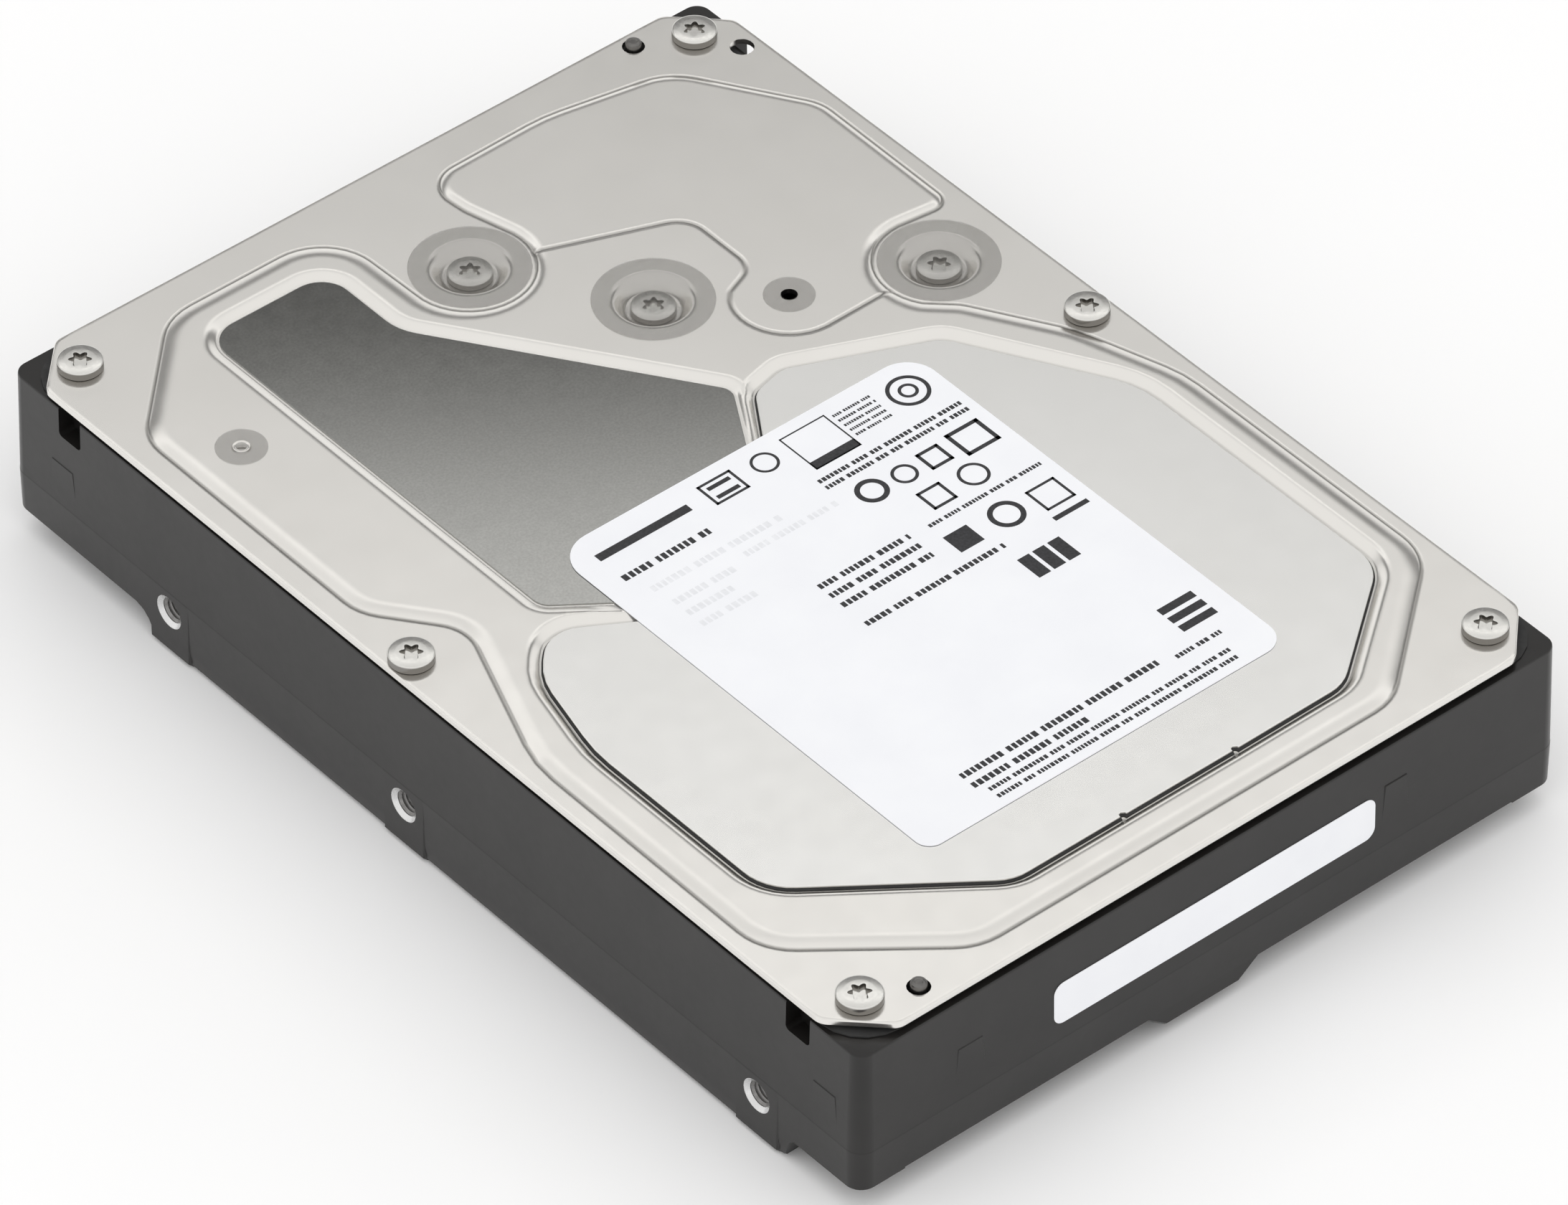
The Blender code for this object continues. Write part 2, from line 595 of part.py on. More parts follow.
def disk_pack():
    turned("spindle_hub", SPINDLE, hub_profile(), "machined_aluminium", 48)
    for i in range(DISK_COUNT):
        z = DISK_Z + DISK_PITCH * i
        ring(f"disk_{i + 1}", SPINDLE, DISK_BORE_R, DISK_R, z - DISK_T / 2, z + DISK_T / 2, "polished_disk", 72)
    for i in range(DISK_COUNT - 1):
        low = DISK_Z + DISK_PITCH * i + DISK_T / 2 + LOOSE
        high = low + DISK_PITCH - DISK_T - 2 * LOOSE
        ring(f"spacer_{i + 1}", SPINDLE, DISK_BORE_R, 15.5, low, high, "machined_aluminium", 40)
    top = DISK_Z + DISK_PITCH * (DISK_COUNT - 1) + DISK_T / 2
    profile = [
        (0.0, top + 1.3), (9.0, top + 1.3), (10.5, top + 1.7), (13.5, top + 1.7), (15.5, top + 1.2),
        (15.5, top + LOOSE), (13.0, top + LOOSE), (12.6, top + 0.4), (0.0, top + 0.4),
    ]
    clamp = turned("disk_clamp", SPINDLE, profile, "plated_steel", 48)
    for i in range(6):
        place = polar(SPINDLE, 7.0, math.radians(60 * i))
        join(clamp, drum(f"clamp_screw_{i}", place, 1.7, top + 1.0, top + 1.9, 12))


def motor_stator():
    """Nine teeth round the bearing sleeve, standing on the floor of the body."""
    teeth = []
    for i in range(9):
        middle = 2 * math.pi * i / 9
        for radius, swing in ((6.0, -12), (9.2, -7), (9.2, -15), (10.4, -14), (10.4, 14), (9.2, 15), (9.2, 7)):
            teeth.append(polar(SPINDLE, radius, middle + math.radians(swing)))
    core = plate("motor_stator", teeth, 7.6, 10.8, "copper_wire")
    join(core, drum("bearing_sleeve", SPINDLE, 5.0, FLOOR_Z + LOOSE, 12.0, 24))
    cut(core, drum("sleeve_bore", SPINDLE, 2.8, FLOOR_Z + 0.3, 14, 24))


def arm_outline(angle):
    """One arm of the comb, tapering from the hub to the head end."""
    along = Vector((math.cos(angle), math.sin(angle)))
    across = Vector((-along.y, along.x))
    middle = Vector(PIVOT)
    stations = ((4.0, 8.2), (12.0, 7.0), (24.0, 3.7), (ARM_REACH, 3.0))
    left = [middle + along * reach + across * half for reach, half in stations]
    right = [middle + along * reach - across * half for reach, half in reversed(stations)]
    return [tuple(point) for point in left + right]


def arm_levels():
    """Mid heights of the six arms: below, between and above the disks."""
    return [DISK_Z + DISK_PITCH * (i - 0.5) for i in range(DISK_COUNT + 1)]


def sector(centre, inner, outer, start, end, steps=None):
    return arc(centre, outer, start, end, steps) + arc(centre, inner, end, start, steps)


def fork_outline():
    """The two prongs that hold the coil, opposite the arms."""
    middle = PARK_ANGLE - math.pi
    outer = [polar(PIVOT, 7.0, middle - 1.1)]
    outer += [polar(PIVOT, 27.5, middle - 0.30), polar(PIVOT, 27.5, middle - 0.25)]
    outer += [polar(PIVOT, 14.2, middle - 0.29), polar(PIVOT, 12.4, middle - 0.15)]
    outer += [polar(PIVOT, 12.4, middle + 0.15), polar(PIVOT, 14.2, middle + 0.29)]
    outer += [polar(PIVOT, 27.5, middle + 0.25), polar(PIVOT, 27.5, middle + 0.30)]
    outer += [polar(PIVOT, 7.0, middle + 1.1)]
    return outer


def arm_comb():
    levels = arm_levels()
    bottom = levels[0] - ARM_T / 2
    top = levels[-1] + ARM_T / 2
    comb = drum("arm_comb", PIVOT, 9.6, bottom, top, 40, "machined_aluminium", at=PIVOT)
    for i, level in enumerate(levels):
        join(comb, plate(f"arm_{i}", arm_outline(PARK_ANGLE), level - ARM_T / 2, level + ARM_T / 2))
    join(comb, plate("coil_fork", fork_outline(), *COIL_Z))
    cut(comb, drum("comb_bore", PIVOT, 6.6, bottom - 1, top + 1, 32))


def voice_coil():
    middle = PARK_ANGLE - math.pi
    coil = plate("voice_coil", sector(PIVOT, 14.9, 27.3, middle - 0.225, middle + 0.225, 6), *COIL_Z,
                 "copper_wire", at=PIVOT)
    cut(coil, plate("coil_window", sector(PIVOT, 17.6, 24.6, middle - 0.10, middle + 0.10, 4), 10, 20))


def pivot_parts():
    bottom = arm_levels()[0] - ARM_T / 2 - 0.3
    shaft = turned("pivot_shaft", PIVOT, [
        (0.0, 22.7), (3.0, 22.7), (3.0, 6.9), (5.0, 6.9), (5.0, FLOOR_Z + LOOSE), (0.0, FLOOR_Z + LOOSE),
    ], "screw_steel", 32)
    cut(shaft, drum("shaft_thread", PIVOT, 1.5, 18.8, 24, 16))
    sleeve = drum("pivot_sleeve", PIVOT, 6.4, bottom + 0.15, 22.4, 32, "machined_aluminium", at=PIVOT)
    cut(sleeve, drum("sleeve_inside", PIVOT, 3.3, 5, 24, 32))


def head_suspension(name, level, faces):
    """Mounting block, a tapered beam for each disk face, and their heads. Faces lists +1 and -1."""
    along = Vector((math.cos(PARK_ANGLE), math.sin(PARK_ANGLE)))
    across = Vector((-along.y, along.x))
    middle = Vector(PIVOT)

    def strip(label, stations, bottom, top, paint=None, at=(0.0, 0.0)):
        left = [tuple(middle + along * reach + across * half) for reach, half in stations]
        right = [tuple(middle + along * reach - across * half) for reach, half in reversed(stations)]
        return plate(label, left + right, bottom, top, paint, at)

    start = ARM_REACH + 0.2
    block = strip(name, ((start, 2.9), (start + 5.5, 2.7)), level - 0.4, level + 0.4, "plated_steel", PIVOT)
    for face in faces:
        low, high = sorted((level + face * 0.3, level + face * 0.5))
        beam_shape = ((start + 2, 2.6), (HEAD_REACH - 2, 1.2), (HEAD_REACH, 0.9), (HEAD_REACH + 2.6, 0.45))
        beam = strip(f"{name}_beam_{face}", beam_shape, low, high)
        low, high = sorted((level + face * 0.35, level + face * 0.85))
        head = strip(f"{name}_head_{face}", ((HEAD_REACH - 1, 0.5), (HEAD_REACH + 0.25, 0.5)), low, high)
        join(block, beam, head)


def head_suspensions():
    levels = arm_levels()
    for i, level in enumerate(levels):
        faces = [face for face in (-1, 1) if 0 <= i - (face < 0) < DISK_COUNT]
        head_suspension(f"head_suspension_{i + 1}", level, faces)


def yoke_outline():
    """The crescent over the coil's swing, with an ear at each of its two screws."""
    start, end = YOKE_ARC
    outline = arc(PIVOT, YOKE_R[1], start, end)
    outline += arc(YOKE_SCREW_REAR, 4.0, math.radians(110), math.radians(290))
    outline += arc(PIVOT, YOKE_R[0], end, start)
    outline += arc(YOKE_SCREW_SIDE, 4.0, math.radians(-150), math.radians(30))
    return outline


def voice_coil_motor():
    lower = plate("lower_yoke", yoke_outline(), 7.6, 10.0, "plated_steel")
    upper = plate("upper_yoke", yoke_outline(), 19.4, 21.6, "plated_steel")
    for i, place in enumerate((YOKE_SCREW_REAR, YOKE_SCREW_SIDE)):
        join(upper, drum(f"yoke_post_{i}", place, 3.4, 10.1, 22.7, 24))
        cut(upper, drum(f"yoke_thread_{i}", place, 1.5, 18.8, 24, 16))
    arc_shape = sector(PIVOT, YOKE_R[0] + 1, YOKE_R[1] - 1, YOKE_ARC[0] + 0.05, YOKE_ARC[1] - 0.05)
    plate("lower_magnet", arc_shape, 10.05, 12.4, "magnet_nickel")
    plate("upper_magnet", arc_shape, 17.0, 19.35, "magnet_nickel")
    join(lower, drum("latch_pin", LATCH_PIN, 0.9, 9.5, 16.6, 16))
    join(lower, plate("latch_arm", rectangle((36.5, 43.2), (25.5, 29.5), 1.5), 7.6, 10.0))


def inertial_latch():
    """A small lever that catches the fork when the drive is knocked."""
    x, y = LATCH_PIN
    outline = [(x + 2.4, y - 1.6), (x + 2.4, y + 1.6), (x + 0.8, y + 2.6), (x - 1.2, y + 4.2), (x - 2.6, y + 3.6)]
    outline += [(x - 2.2, y + 0.6), (x - 2.2, y - 2.4)]
    latch = plate("inertial_latch", rounded([(px, py, 0.5) for px, py in outline]), 13.2, 16.0,
                  "black_plastic", at=LATCH_PIN)
    cut(latch, drum("latch_bore", LATCH_PIN, 1.2, 10, 20, 16))


def load_ramp():
    """The comb of shelves outside the disks that holds the heads when they are parked."""
    tip = polar(PIVOT, HEAD_REACH + 2.0, PARK_ANGLE)
    ramp = box("load_ramp", (tip[0] - 4.8, tip[0] - 2.4), (tip[1] + 0.6, tip[1] + 8.0), (FLOOR_Z + LOOSE, 22.6),
               "ramp_plastic")
    for i, level in enumerate(arm_levels()):
        join(ramp, box(f"shelf_{i}", (tip[0] - 3.0, tip[0] + 0.6), (tip[1] - 0.5, tip[1] + 4.0),
                       (level - 0.15, level + 0.15)))


def flex_parts():
    bracket = box("flex_bracket", (-36.0, -14.0), (44.0, 62.0), (FLOOR_Z + LOOSE, 8.4), "machined_aluminium")
    join(bracket, box("flex_stand", (-15.4, -14.0), (44.0, 54.0), (8.0, 19.0)))
    for i, place in enumerate(((-33.0, 47.5), (-18.5, 58.5))):
        join(bracket, drum(f"bracket_screw_{i}", place, 2.2, 8.0, 9.3, 16))
    route = [(-13.4, 52.5), (-12.6, 55.5), (-9.5, 56.6), (-6.8, 54.5), (-6.6, 50.0), (-5.6, 45.5), (-2.6, 42.0)]
    curve = bpy.data.curves.new("flex_cable", "CURVE")
    curve.dimensions = "3D"
    curve.extrude = 4.0 * MM
    spline = curve.splines.new("BEZIER")
    spline.bezier_points.add(len(route) - 1)
    for point, (x, y) in zip(spline.bezier_points, route):
        point.co = (x * MM, y * MM, 14.0 * MM)
        point.handle_left_type = "AUTO"
        point.handle_right_type = "AUTO"
    curve.resolution_u = 4
    guide = bpy.data.objects.new("flex_route", curve)
    bpy.context.scene.collection.objects.link(guide)
    graph = bpy.context.evaluated_depsgraph_get()
    mesh = bpy.data.meshes.new_from_object(guide.evaluated_get(graph))
    bpy.data.objects.remove(guide)
    mesh.name = "flex_cable"
    cable = add("flex_cable", mesh, "flex_film")
    skin = cable.modifiers.new("thickness", "SOLIDIFY")
    skin.thickness = 0.12 * MM
    skin.offset = 0.0


def recirculation_filter():
    plate("recirculation_filter", rectangle((-45.7, -42.7), (26.0, 37.0), 1.4), FLOOR_Z + LOOSE, 20.0,
          "filter_cloth")


clear_scene()
DRIVE = collection("hard_disk_drive")
CUTTERS = collection("cutters")
base_casting()
top_cover()
gasket()
dampers()
labels()
cover_screws()
seals()
circuit_board()
sata_connector()
disk_pack()
motor_stator()
pivot_parts()
arm_comb()
voice_coil()
head_suspensions()
voice_coil_motor()
inertial_latch()
load_ramp()
flex_parts()
recirculation_filter()
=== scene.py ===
import math
import random

import bmesh
import bpy
import numpy as np
from mathutils import Matrix, Vector
from mathutils.geometry import delaunay_2d_cdt


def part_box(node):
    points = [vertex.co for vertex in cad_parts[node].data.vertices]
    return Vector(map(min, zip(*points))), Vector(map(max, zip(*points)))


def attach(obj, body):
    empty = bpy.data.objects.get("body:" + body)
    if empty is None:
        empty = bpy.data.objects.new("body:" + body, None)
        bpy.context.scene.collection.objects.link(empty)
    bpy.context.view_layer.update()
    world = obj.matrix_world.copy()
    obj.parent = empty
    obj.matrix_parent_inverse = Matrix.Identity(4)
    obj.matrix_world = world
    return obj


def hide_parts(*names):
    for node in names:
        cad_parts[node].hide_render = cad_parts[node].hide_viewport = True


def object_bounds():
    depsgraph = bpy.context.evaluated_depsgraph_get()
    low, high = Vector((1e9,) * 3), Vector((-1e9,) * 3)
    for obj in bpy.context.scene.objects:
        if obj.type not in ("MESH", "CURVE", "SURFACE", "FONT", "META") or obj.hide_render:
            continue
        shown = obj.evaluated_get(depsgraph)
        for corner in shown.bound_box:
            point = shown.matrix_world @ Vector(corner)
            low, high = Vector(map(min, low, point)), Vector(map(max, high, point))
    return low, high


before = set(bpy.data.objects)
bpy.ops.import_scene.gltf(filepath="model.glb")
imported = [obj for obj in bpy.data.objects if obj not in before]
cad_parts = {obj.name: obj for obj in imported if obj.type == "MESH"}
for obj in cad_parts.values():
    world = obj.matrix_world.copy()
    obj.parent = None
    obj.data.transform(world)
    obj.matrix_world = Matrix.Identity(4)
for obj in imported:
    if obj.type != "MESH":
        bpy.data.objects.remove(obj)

CAD_LOW, CAD_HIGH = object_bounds()
MM = 0.001
ARC_STEP = math.radians(9)

# Camera: where it looks, in millimetres, and from where.
AIM = (-1.4, -3.1, 12.0)
AZIMUTH = math.radians(-40.38)
ELEVATION = math.radians(41.98)
DISTANCE = 1364.5
LENS = 281.6
SENSOR = 36.0
CLIP_START, CLIP_END = 0.05, 60.0

# The sky behind the drive, as (sine of the height, light): a grey flag stands below a bright bank.
SKY_BANDS = ((0.0, 0.8), (0.38, 0.72), (0.46, 0.1), (0.654, 0.1), (0.665, 1.2), (0.715, 1.25), (0.76, 0.58))
SKY_PLAIN = 0.72
SKY_STRENGTH = 1.36
SKY_TINT = (1.0, 0.995, 0.985, 1.0)
# The flag's middle direction, and how near a direction is to it where the flag starts and is full.
DARK_SIDE = (0.65, 0.76, 0.0)
DARK_EDGE = (0.3, 0.6)

# The key light: degrees round from the drive's front and above the floor, then metres and watts.
KEY_AZIMUTH, KEY_ELEVATION = math.radians(-40), math.radians(66)
KEY_DISTANCE = 2.6
KEY_SIDE = 2.6
KEY_POWER = 15

FLOOR_SIDE = 8.0
FLOOR_TILES = 8


def centre(node):
    """Plan centre of a CAD node, in millimetres."""
    low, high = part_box(node)
    return ((low.x + high.x) / 2 / MM, (low.y + high.y) / 2 / MM)


def levels(node):
    """Bottom and top of a CAD node, in millimetres."""
    low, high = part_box(node)
    return low.z / MM, high.z / MM


# Levels of the stamped cover, in millimetres, from the rim.
SHEET = 0.7
SEAL_DROP = 0.08
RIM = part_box("main_label")[0].z / MM
RAISED = levels("port_seal")[0] - SEAL_DROP - 0.03
PLATE_POCKET = RIM - 0.55
SHEET_TOP = RIM - 0.05
SHEET_POCKET = RIM - 0.17
DIMPLE_FLOOR = RIM - 1.4

# The cover's slopes, creases and edges, in millimetres.
# CRISP, SOFT and EASED are the share of a slope that is bent at one end.
RAISED_SLOPE = 2.0
NARROW_SLOPE = 1.15
POCKET_SLOPE = 1.5
CRISP, SOFT, EASED = 0.12, 0.4, 0.85
PLATE_GAP, SHEET_GAP = 0.4, 0.3
CREASE_HALF = 0.42
CREASE_DEPTH = 0.045
FOOT_HALF = 0.34
FOOT_DEPTH = 0.035
EDGE_ROUND = 0.16
PAD_R = 7.65
LIP_R = 4.9
FLOOR_R = 3.15
PORT_LIP_R = 1.1
PORT_FLOOR_R = 0.8
PORT_DEPTH = 0.4
LABEL_X, LABEL_Y = (-24.9, 27.2), (-54.5, 8.5)
PRINT_T = 0.012

# The pan heads, and the dark ring under the damping plate's edge, a painted shade for the gap round the
# plate.
HEAD_R = 2.65
HEAD_EDGE = 0.2
HEAD_CROWN = 0.05
HEAD_HEIGHTS = {"cover": 1.05, "inner": 0.9}
GAP_SHADE_T = 0.14
GAP_SHADE_OUT = 0.2

COVER_SCREWS = [centre(f"cover_screw_{i}") for i in range(1, 7)]
INNER_SCREWS = [centre(f"inner_screw_{i}") for i in range(1, 4)]
BREATHER = centre("breather_seal")
TEST_PORT = centre("port_seal")
SPINDLE = centre("spindle_hub")
TOOL_HOLE = (COVER_SCREWS[1][0] + 2.9, COVER_SCREWS[1][1] - 5.1)
POSTS = ((38.2, 70.3), (-39.3, -69.7))

# The casting, in millimetres.
HALF_W = CAD_HIGH.x / MM
HALF_L = CAD_HIGH.y / MM
CAST_TOP = levels("cover_gasket")[0] - 0.04
CORNER_R = 2.2
PARTING = 9.4
DRAFT = 0.18
RAIL_EDGE = 0.7
RAIL_X = HALF_W - 6.6
END_Z = 4.1
FLOOR_Z = 6.2
SHROUD_R = 48.6
SIDE_HOLE_Z = 6.35
SIDE_HOLES_Y = (45.0, 3.4, -56.6)
BASE_HOLE_X = 47.625
BASE_HOLES_Y = (32.22, -12.23)


# ---- outlines

def polar(middle, radius, angle):
    return (middle[0] + radius * math.cos(angle), middle[1] + radius * math.sin(angle))


def arc(middle, radius, start, end, steps=None):
    count = steps or max(2, round(abs(end - start) / ARC_STEP))
    return [polar(middle, radius, start + (end - start) * i / count) for i in range(count + 1)]


def circle(middle, radius, steps=48):
    return arc(middle, radius, 0.0, 2 * math.pi, steps)[:-1]


def rounded(corners):
    """Outline through corners (x, y, radius), each turned into an arc. A list of points is kept as it is."""
    points = []
    for i, corner in enumerate(corners):
        if isinstance(corner, list):
            points += corner
            continue
        x, y, radius = corner
        here = Vector((x, y))
        earlier, later = corners[i - 1], corners[(i + 1) % len(corners)]
        before = (Vector(earlier[-1] if isinstance(earlier, list) else earlier[:2]) - here).normalized()
        after = (Vector(later[0] if isinstance(later, list) else later[:2]) - here).normalized()
        half = before.angle(after) / 2
        if radius == 0 or half > math.radians(88):
            points.append((x, y))
            continue
        reach = radius / math.tan(half)
        middle = here + (before + after).normalized() * radius / math.sin(half)
        start = here + before * reach - middle
        swing = math.pi - 2 * half
        turn = swing if start.y * before.x - start.x * before.y > 0 else -swing
        first = math.atan2(start.y, start.x)
        points += arc(middle, radius, first, first + turn)
    return points


def rectangle(x, y, radius=0.0):
    return rounded([(x[0], y[0], radius), (x[1], y[0], radius), (x[1], y[1], radius), (x[0], y[1], radius)])


def inside(points, outline):
    """True for each point that lies in the outline."""
    found = np.zeros(len(points), bool)
    ends = np.roll(outline, -1, axis=0)
    for a, b in zip(outline, ends):
        crosses = (a[1] > points[:, 1]) != (b[1] > points[:, 1])
        slope = (b[0] - a[0]) / (b[1] - a[1] + 1e-30)
        found ^= crosses & (points[:, 0] < a[0] + slope * (points[:, 1] - a[1]))
    return found


def nearest(points, path):
    """Distance of each point from an open path."""
    found = np.full(len(points), 1e9)
    for a, b in zip(path[:-1], path[1:]):
        along = b - a
        share = np.clip(((points - a) @ along) / max(along @ along, 1e-12), 0, 1)
        found = np.minimum(found, np.linalg.norm(points - a - share[:, None] * along, axis=1))
    return found


def depth(points, outline):
    """Distance of each point from the outline: above zero inside it, below zero outside."""
    outline = np.asarray(outline, float)
    away = nearest(points, np.vstack([outline, outline[:1]]))
    return np.where(inside(points, outline), away, -away)


def offset_loop(outline, inset, step=0.9):
    """The outline drawn in by inset, as evenly spaced points. Points that would cross over are dropped."""
    path = np.asarray(outline, float)
    ends = np.roll(path, -1, axis=0)
    dense = []
    for a, b in zip(path, ends):
        pieces = max(1, math.ceil(np.linalg.norm(b - a) / step))
        dense += [a + (b - a) * i / pieces for i in range(pieces)]
    dense = np.array(dense)
    keep = np.linalg.norm(dense - np.roll(dense, 1, axis=0), axis=1) > 1e-4
    dense = dense[keep]
    tangent = np.roll(dense, -1, axis=0) - np.roll(dense, 1, axis=0)
    tangent /= np.linalg.norm(tangent, axis=1)[:, None] + 1e-12
    normal = np.stack([-tangent[:, 1], tangent[:, 0]], axis=1)
    area = np.sum(dense[:, 0] * np.roll(dense[:, 1], -1) - dense[:, 1] * np.roll(dense[:, 0], -1))
    moved = dense + normal * inset * (1 if area > 0 else -1)
    if inset:
        moved = moved[depth(moved, path) * math.copysign(1, inset) > abs(inset) * 0.97]
    return moved


# ---- meshes

def add_object(name, data):
    made = bpy.data.objects.new(name, data)
    bpy.context.scene.collection.objects.link(made)
    return made


def finish_object(name, mesh, paint, stands_for=(), angle=32):
    """A smooth-shaded, painted piece of the chassis. Its one material is its paint."""
    made = add_object(name, mesh)
    for polygon in mesh.polygons:
        polygon.use_smooth = True
    mesh.set_sharp_from_angle(angle=math.radians(angle))
    mesh.materials.clear()
    mesh.materials.append(PAINTS[paint])
    flatten = made.modifiers.new("flat faces", "WEIGHTED_NORMAL")
    flatten.keep_sharp = True
    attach(made, "chassis")
    if stands_for:
        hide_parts(*stands_for)


def mesh_of(name, points, faces):
    """A mesh from points in millimetres, with outward normals."""
    mesh = bpy.data.meshes.new(name)
    mesh.from_pydata([tuple(value * MM for value in point) for point in points], [], faces)
    shape = bmesh.new()
    shape.from_mesh(mesh)
    bmesh.ops.remove_doubles(shape, verts=shape.verts, dist=1e-8)
    bmesh.ops.recalc_face_normals(shape, faces=shape.faces)
    shape.to_mesh(mesh)
    shape.free()
    return mesh


def make_piece(name, solid, paint, stands_for=(), angle=32):
    finish_object(name, mesh_of(name, *solid), paint, stands_for, angle)


def loft(loops):
    """Points and faces of a closed solid through stacked loops of the same length, with flat ends."""
    count = len(loops[0])
    points = [tuple(point) for loop in loops for point in loop]
    faces = []
    for k in range(len(loops) - 1):
        for i in range(count):
            j = (i + 1) % count
            faces.append((k * count + i, k * count + j, (k + 1) * count + j, (k + 1) * count + i))
    faces.append(tuple(reversed(range(count))))
    last = (len(loops) - 1) * count
    faces.append(tuple(range(last, last + count)))
    return points, faces


def tube(loops):
    """Points and faces of a closed ring: a loft whose last loop joins its first."""
    points, faces = loft(loops)
    count = len(loops[0])
    last = len(points) - count
    joined = [(last + i, last + (i + 1) % count, (i + 1) % count, i) for i in range(count)]
    return points, faces[:-2] + joined


def merge(parts):
    """Points and faces of several solids as one list."""
    points, faces = [], []
    for some_points, some_faces in parts:
        start = len(points)
        points += some_points
        faces += [tuple(index + start for index in face) for face in some_faces]
    return points, faces


def shrink(outline, inset):
    """The outline with each point moved in by inset along its own corner's bisector."""
    path = np.asarray(outline, float)
    before = path - np.roll(path, 1, axis=0)
    after = np.roll(path, -1, axis=0) - path
    before /= np.linalg.norm(before, axis=1)[:, None] + 1e-12
    after /= np.linalg.norm(after, axis=1)[:, None] + 1e-12
    tangent = before + after
    tangent /= np.linalg.norm(tangent, axis=1)[:, None] + 1e-12
    normal = np.stack([-tangent[:, 1], tangent[:, 0]], axis=1)
    area = np.sum(path[:, 0] * np.roll(path[:, 1], -1) - path[:, 1] * np.roll(path[:, 0], -1))
    reach = inset / np.clip(np.sum(tangent * before, axis=1), 0.5, 1)
    return path + normal * (reach * (1 if area > 0 else -1))[:, None]


def slab(outline, bottom, top, edge=0.0, lower_edge=0.0):
    """A plate with its upper and lower edges rounded by edge and lower_edge."""
    turns = [(1 - math.sin(math.pi / 8 * i), 1 - math.cos(math.pi / 8 * i)) for i in range(5)]
    lower = [(lower_edge * a, bottom + lower_edge * b) for a, b in turns[:-1]]
    upper = [(edge * b, top - edge * a) for a, b in turns]
    stack = (lower if lower_edge else [(0.0, bottom)]) + (upper if edge else [(0.0, top)])
    return loft([[(x, y, z) for x, y in shrink(outline, inset)] for inset, z in stack])


def turned_loops(profile, middle, sides):
    """A level loop for each (radius, height) pair."""
    angles = [2 * math.pi * i / sides for i in range(sides)]
    return [[(*polar(middle, radius, angle), z) for angle in angles] for radius, z in profile]


def lathe(profile, middle, sides=48):
    """A closed solid of revolution from (radius, height) pairs, from its foot up its outside to its top."""
    return loft(turned_loops(profile, middle, sides))


def cutter(name, solid):
    return add_object(name, mesh_of(name, *solid))


def carve(mesh, cuts=(), joins=()):
    """The mesh with solids joined to it and cut from it, as a new mesh. The solids are used up."""
    base = add_object("carving", mesh)
    for operation, solids in (("UNION", joins), ("DIFFERENCE", cuts)):
        for solid in solids:
            step = base.modifiers.new(solid.name, "BOOLEAN")
            step.operation = operation
            step.solver = "EXACT"
            step.object = solid
    bpy.context.view_layer.update()
    graph = bpy.context.evaluated_depsgraph_get()
    result = bpy.data.meshes.new_from_object(base.evaluated_get(graph))
    for used in [base, *cuts, *joins]:
        bpy.data.objects.remove(used)
    return result


# ---- materials

def place(tree):
    found = tree.nodes.get("place")
    if found:
        return found.outputs["Object"]
    node = tree.nodes.new("ShaderNodeTexCoord")
    node.name = "place"
    return node.outputs["Object"]


def fill(tree, node, inputs):
    """Set sockets of a node, by name or number: to a value, or to another node's output."""
    for socket, value in inputs.items():
        if isinstance(value, bpy.types.NodeSocket):
            tree.links.new(value, node.inputs[socket])
        else:
            node.inputs[socket].default_value = value
    return node


def stretched(tree, scale):
    node = tree.nodes.new("ShaderNodeMapping")
    return fill(tree, node, {"Scale": scale, "Vector": place(tree)}).outputs["Vector"]


def noise(tree, grain, detail=3.0, vector=None):
    """Noise whose blobs are about grain millimetres across."""
    node = tree.nodes.new("ShaderNodeTexNoise")
    fill(tree, node, {"Scale": 1.0 / (grain * MM), "Detail": detail, "Vector": vector or place(tree)})
    return node.outputs["Fac"]


def spread(tree, value, low, high, from_low=0.3, from_high=0.7):
    """The value moved from one range to another."""
    node = tree.nodes.new("ShaderNodeMapRange")
    fill(tree, node, {"From Min": from_low, "From Max": from_high, "Value": value})
    return fill(tree, node, {"To Min": low, "To Max": high}).outputs["Result"]


def blend_colours(tree, share, low, high):
    """From low, a colour or an output, to the colour high."""
    node = tree.nodes.new("ShaderNodeMix")
    node.data_type = "RGBA"
    start = low if isinstance(low, bpy.types.NodeSocket) else (*low, 1.0)
    return fill(tree, node, {"A": start, "B": (*high, 1.0), "Factor": share}).outputs["Result"]


def bump(tree, shader, height, distance):
    """Add a bump of distance millimetres to whatever the shader has already."""
    node = tree.nodes.new("ShaderNodeBump")
    fill(tree, node, {"Strength": 1.0, "Distance": distance * MM, "Height": height})
    socket = shader.inputs["Normal"]
    if socket.is_linked:
        tree.links.new(socket.links[0].from_socket, node.inputs["Normal"])
    tree.links.new(node.outputs["Normal"], socket)


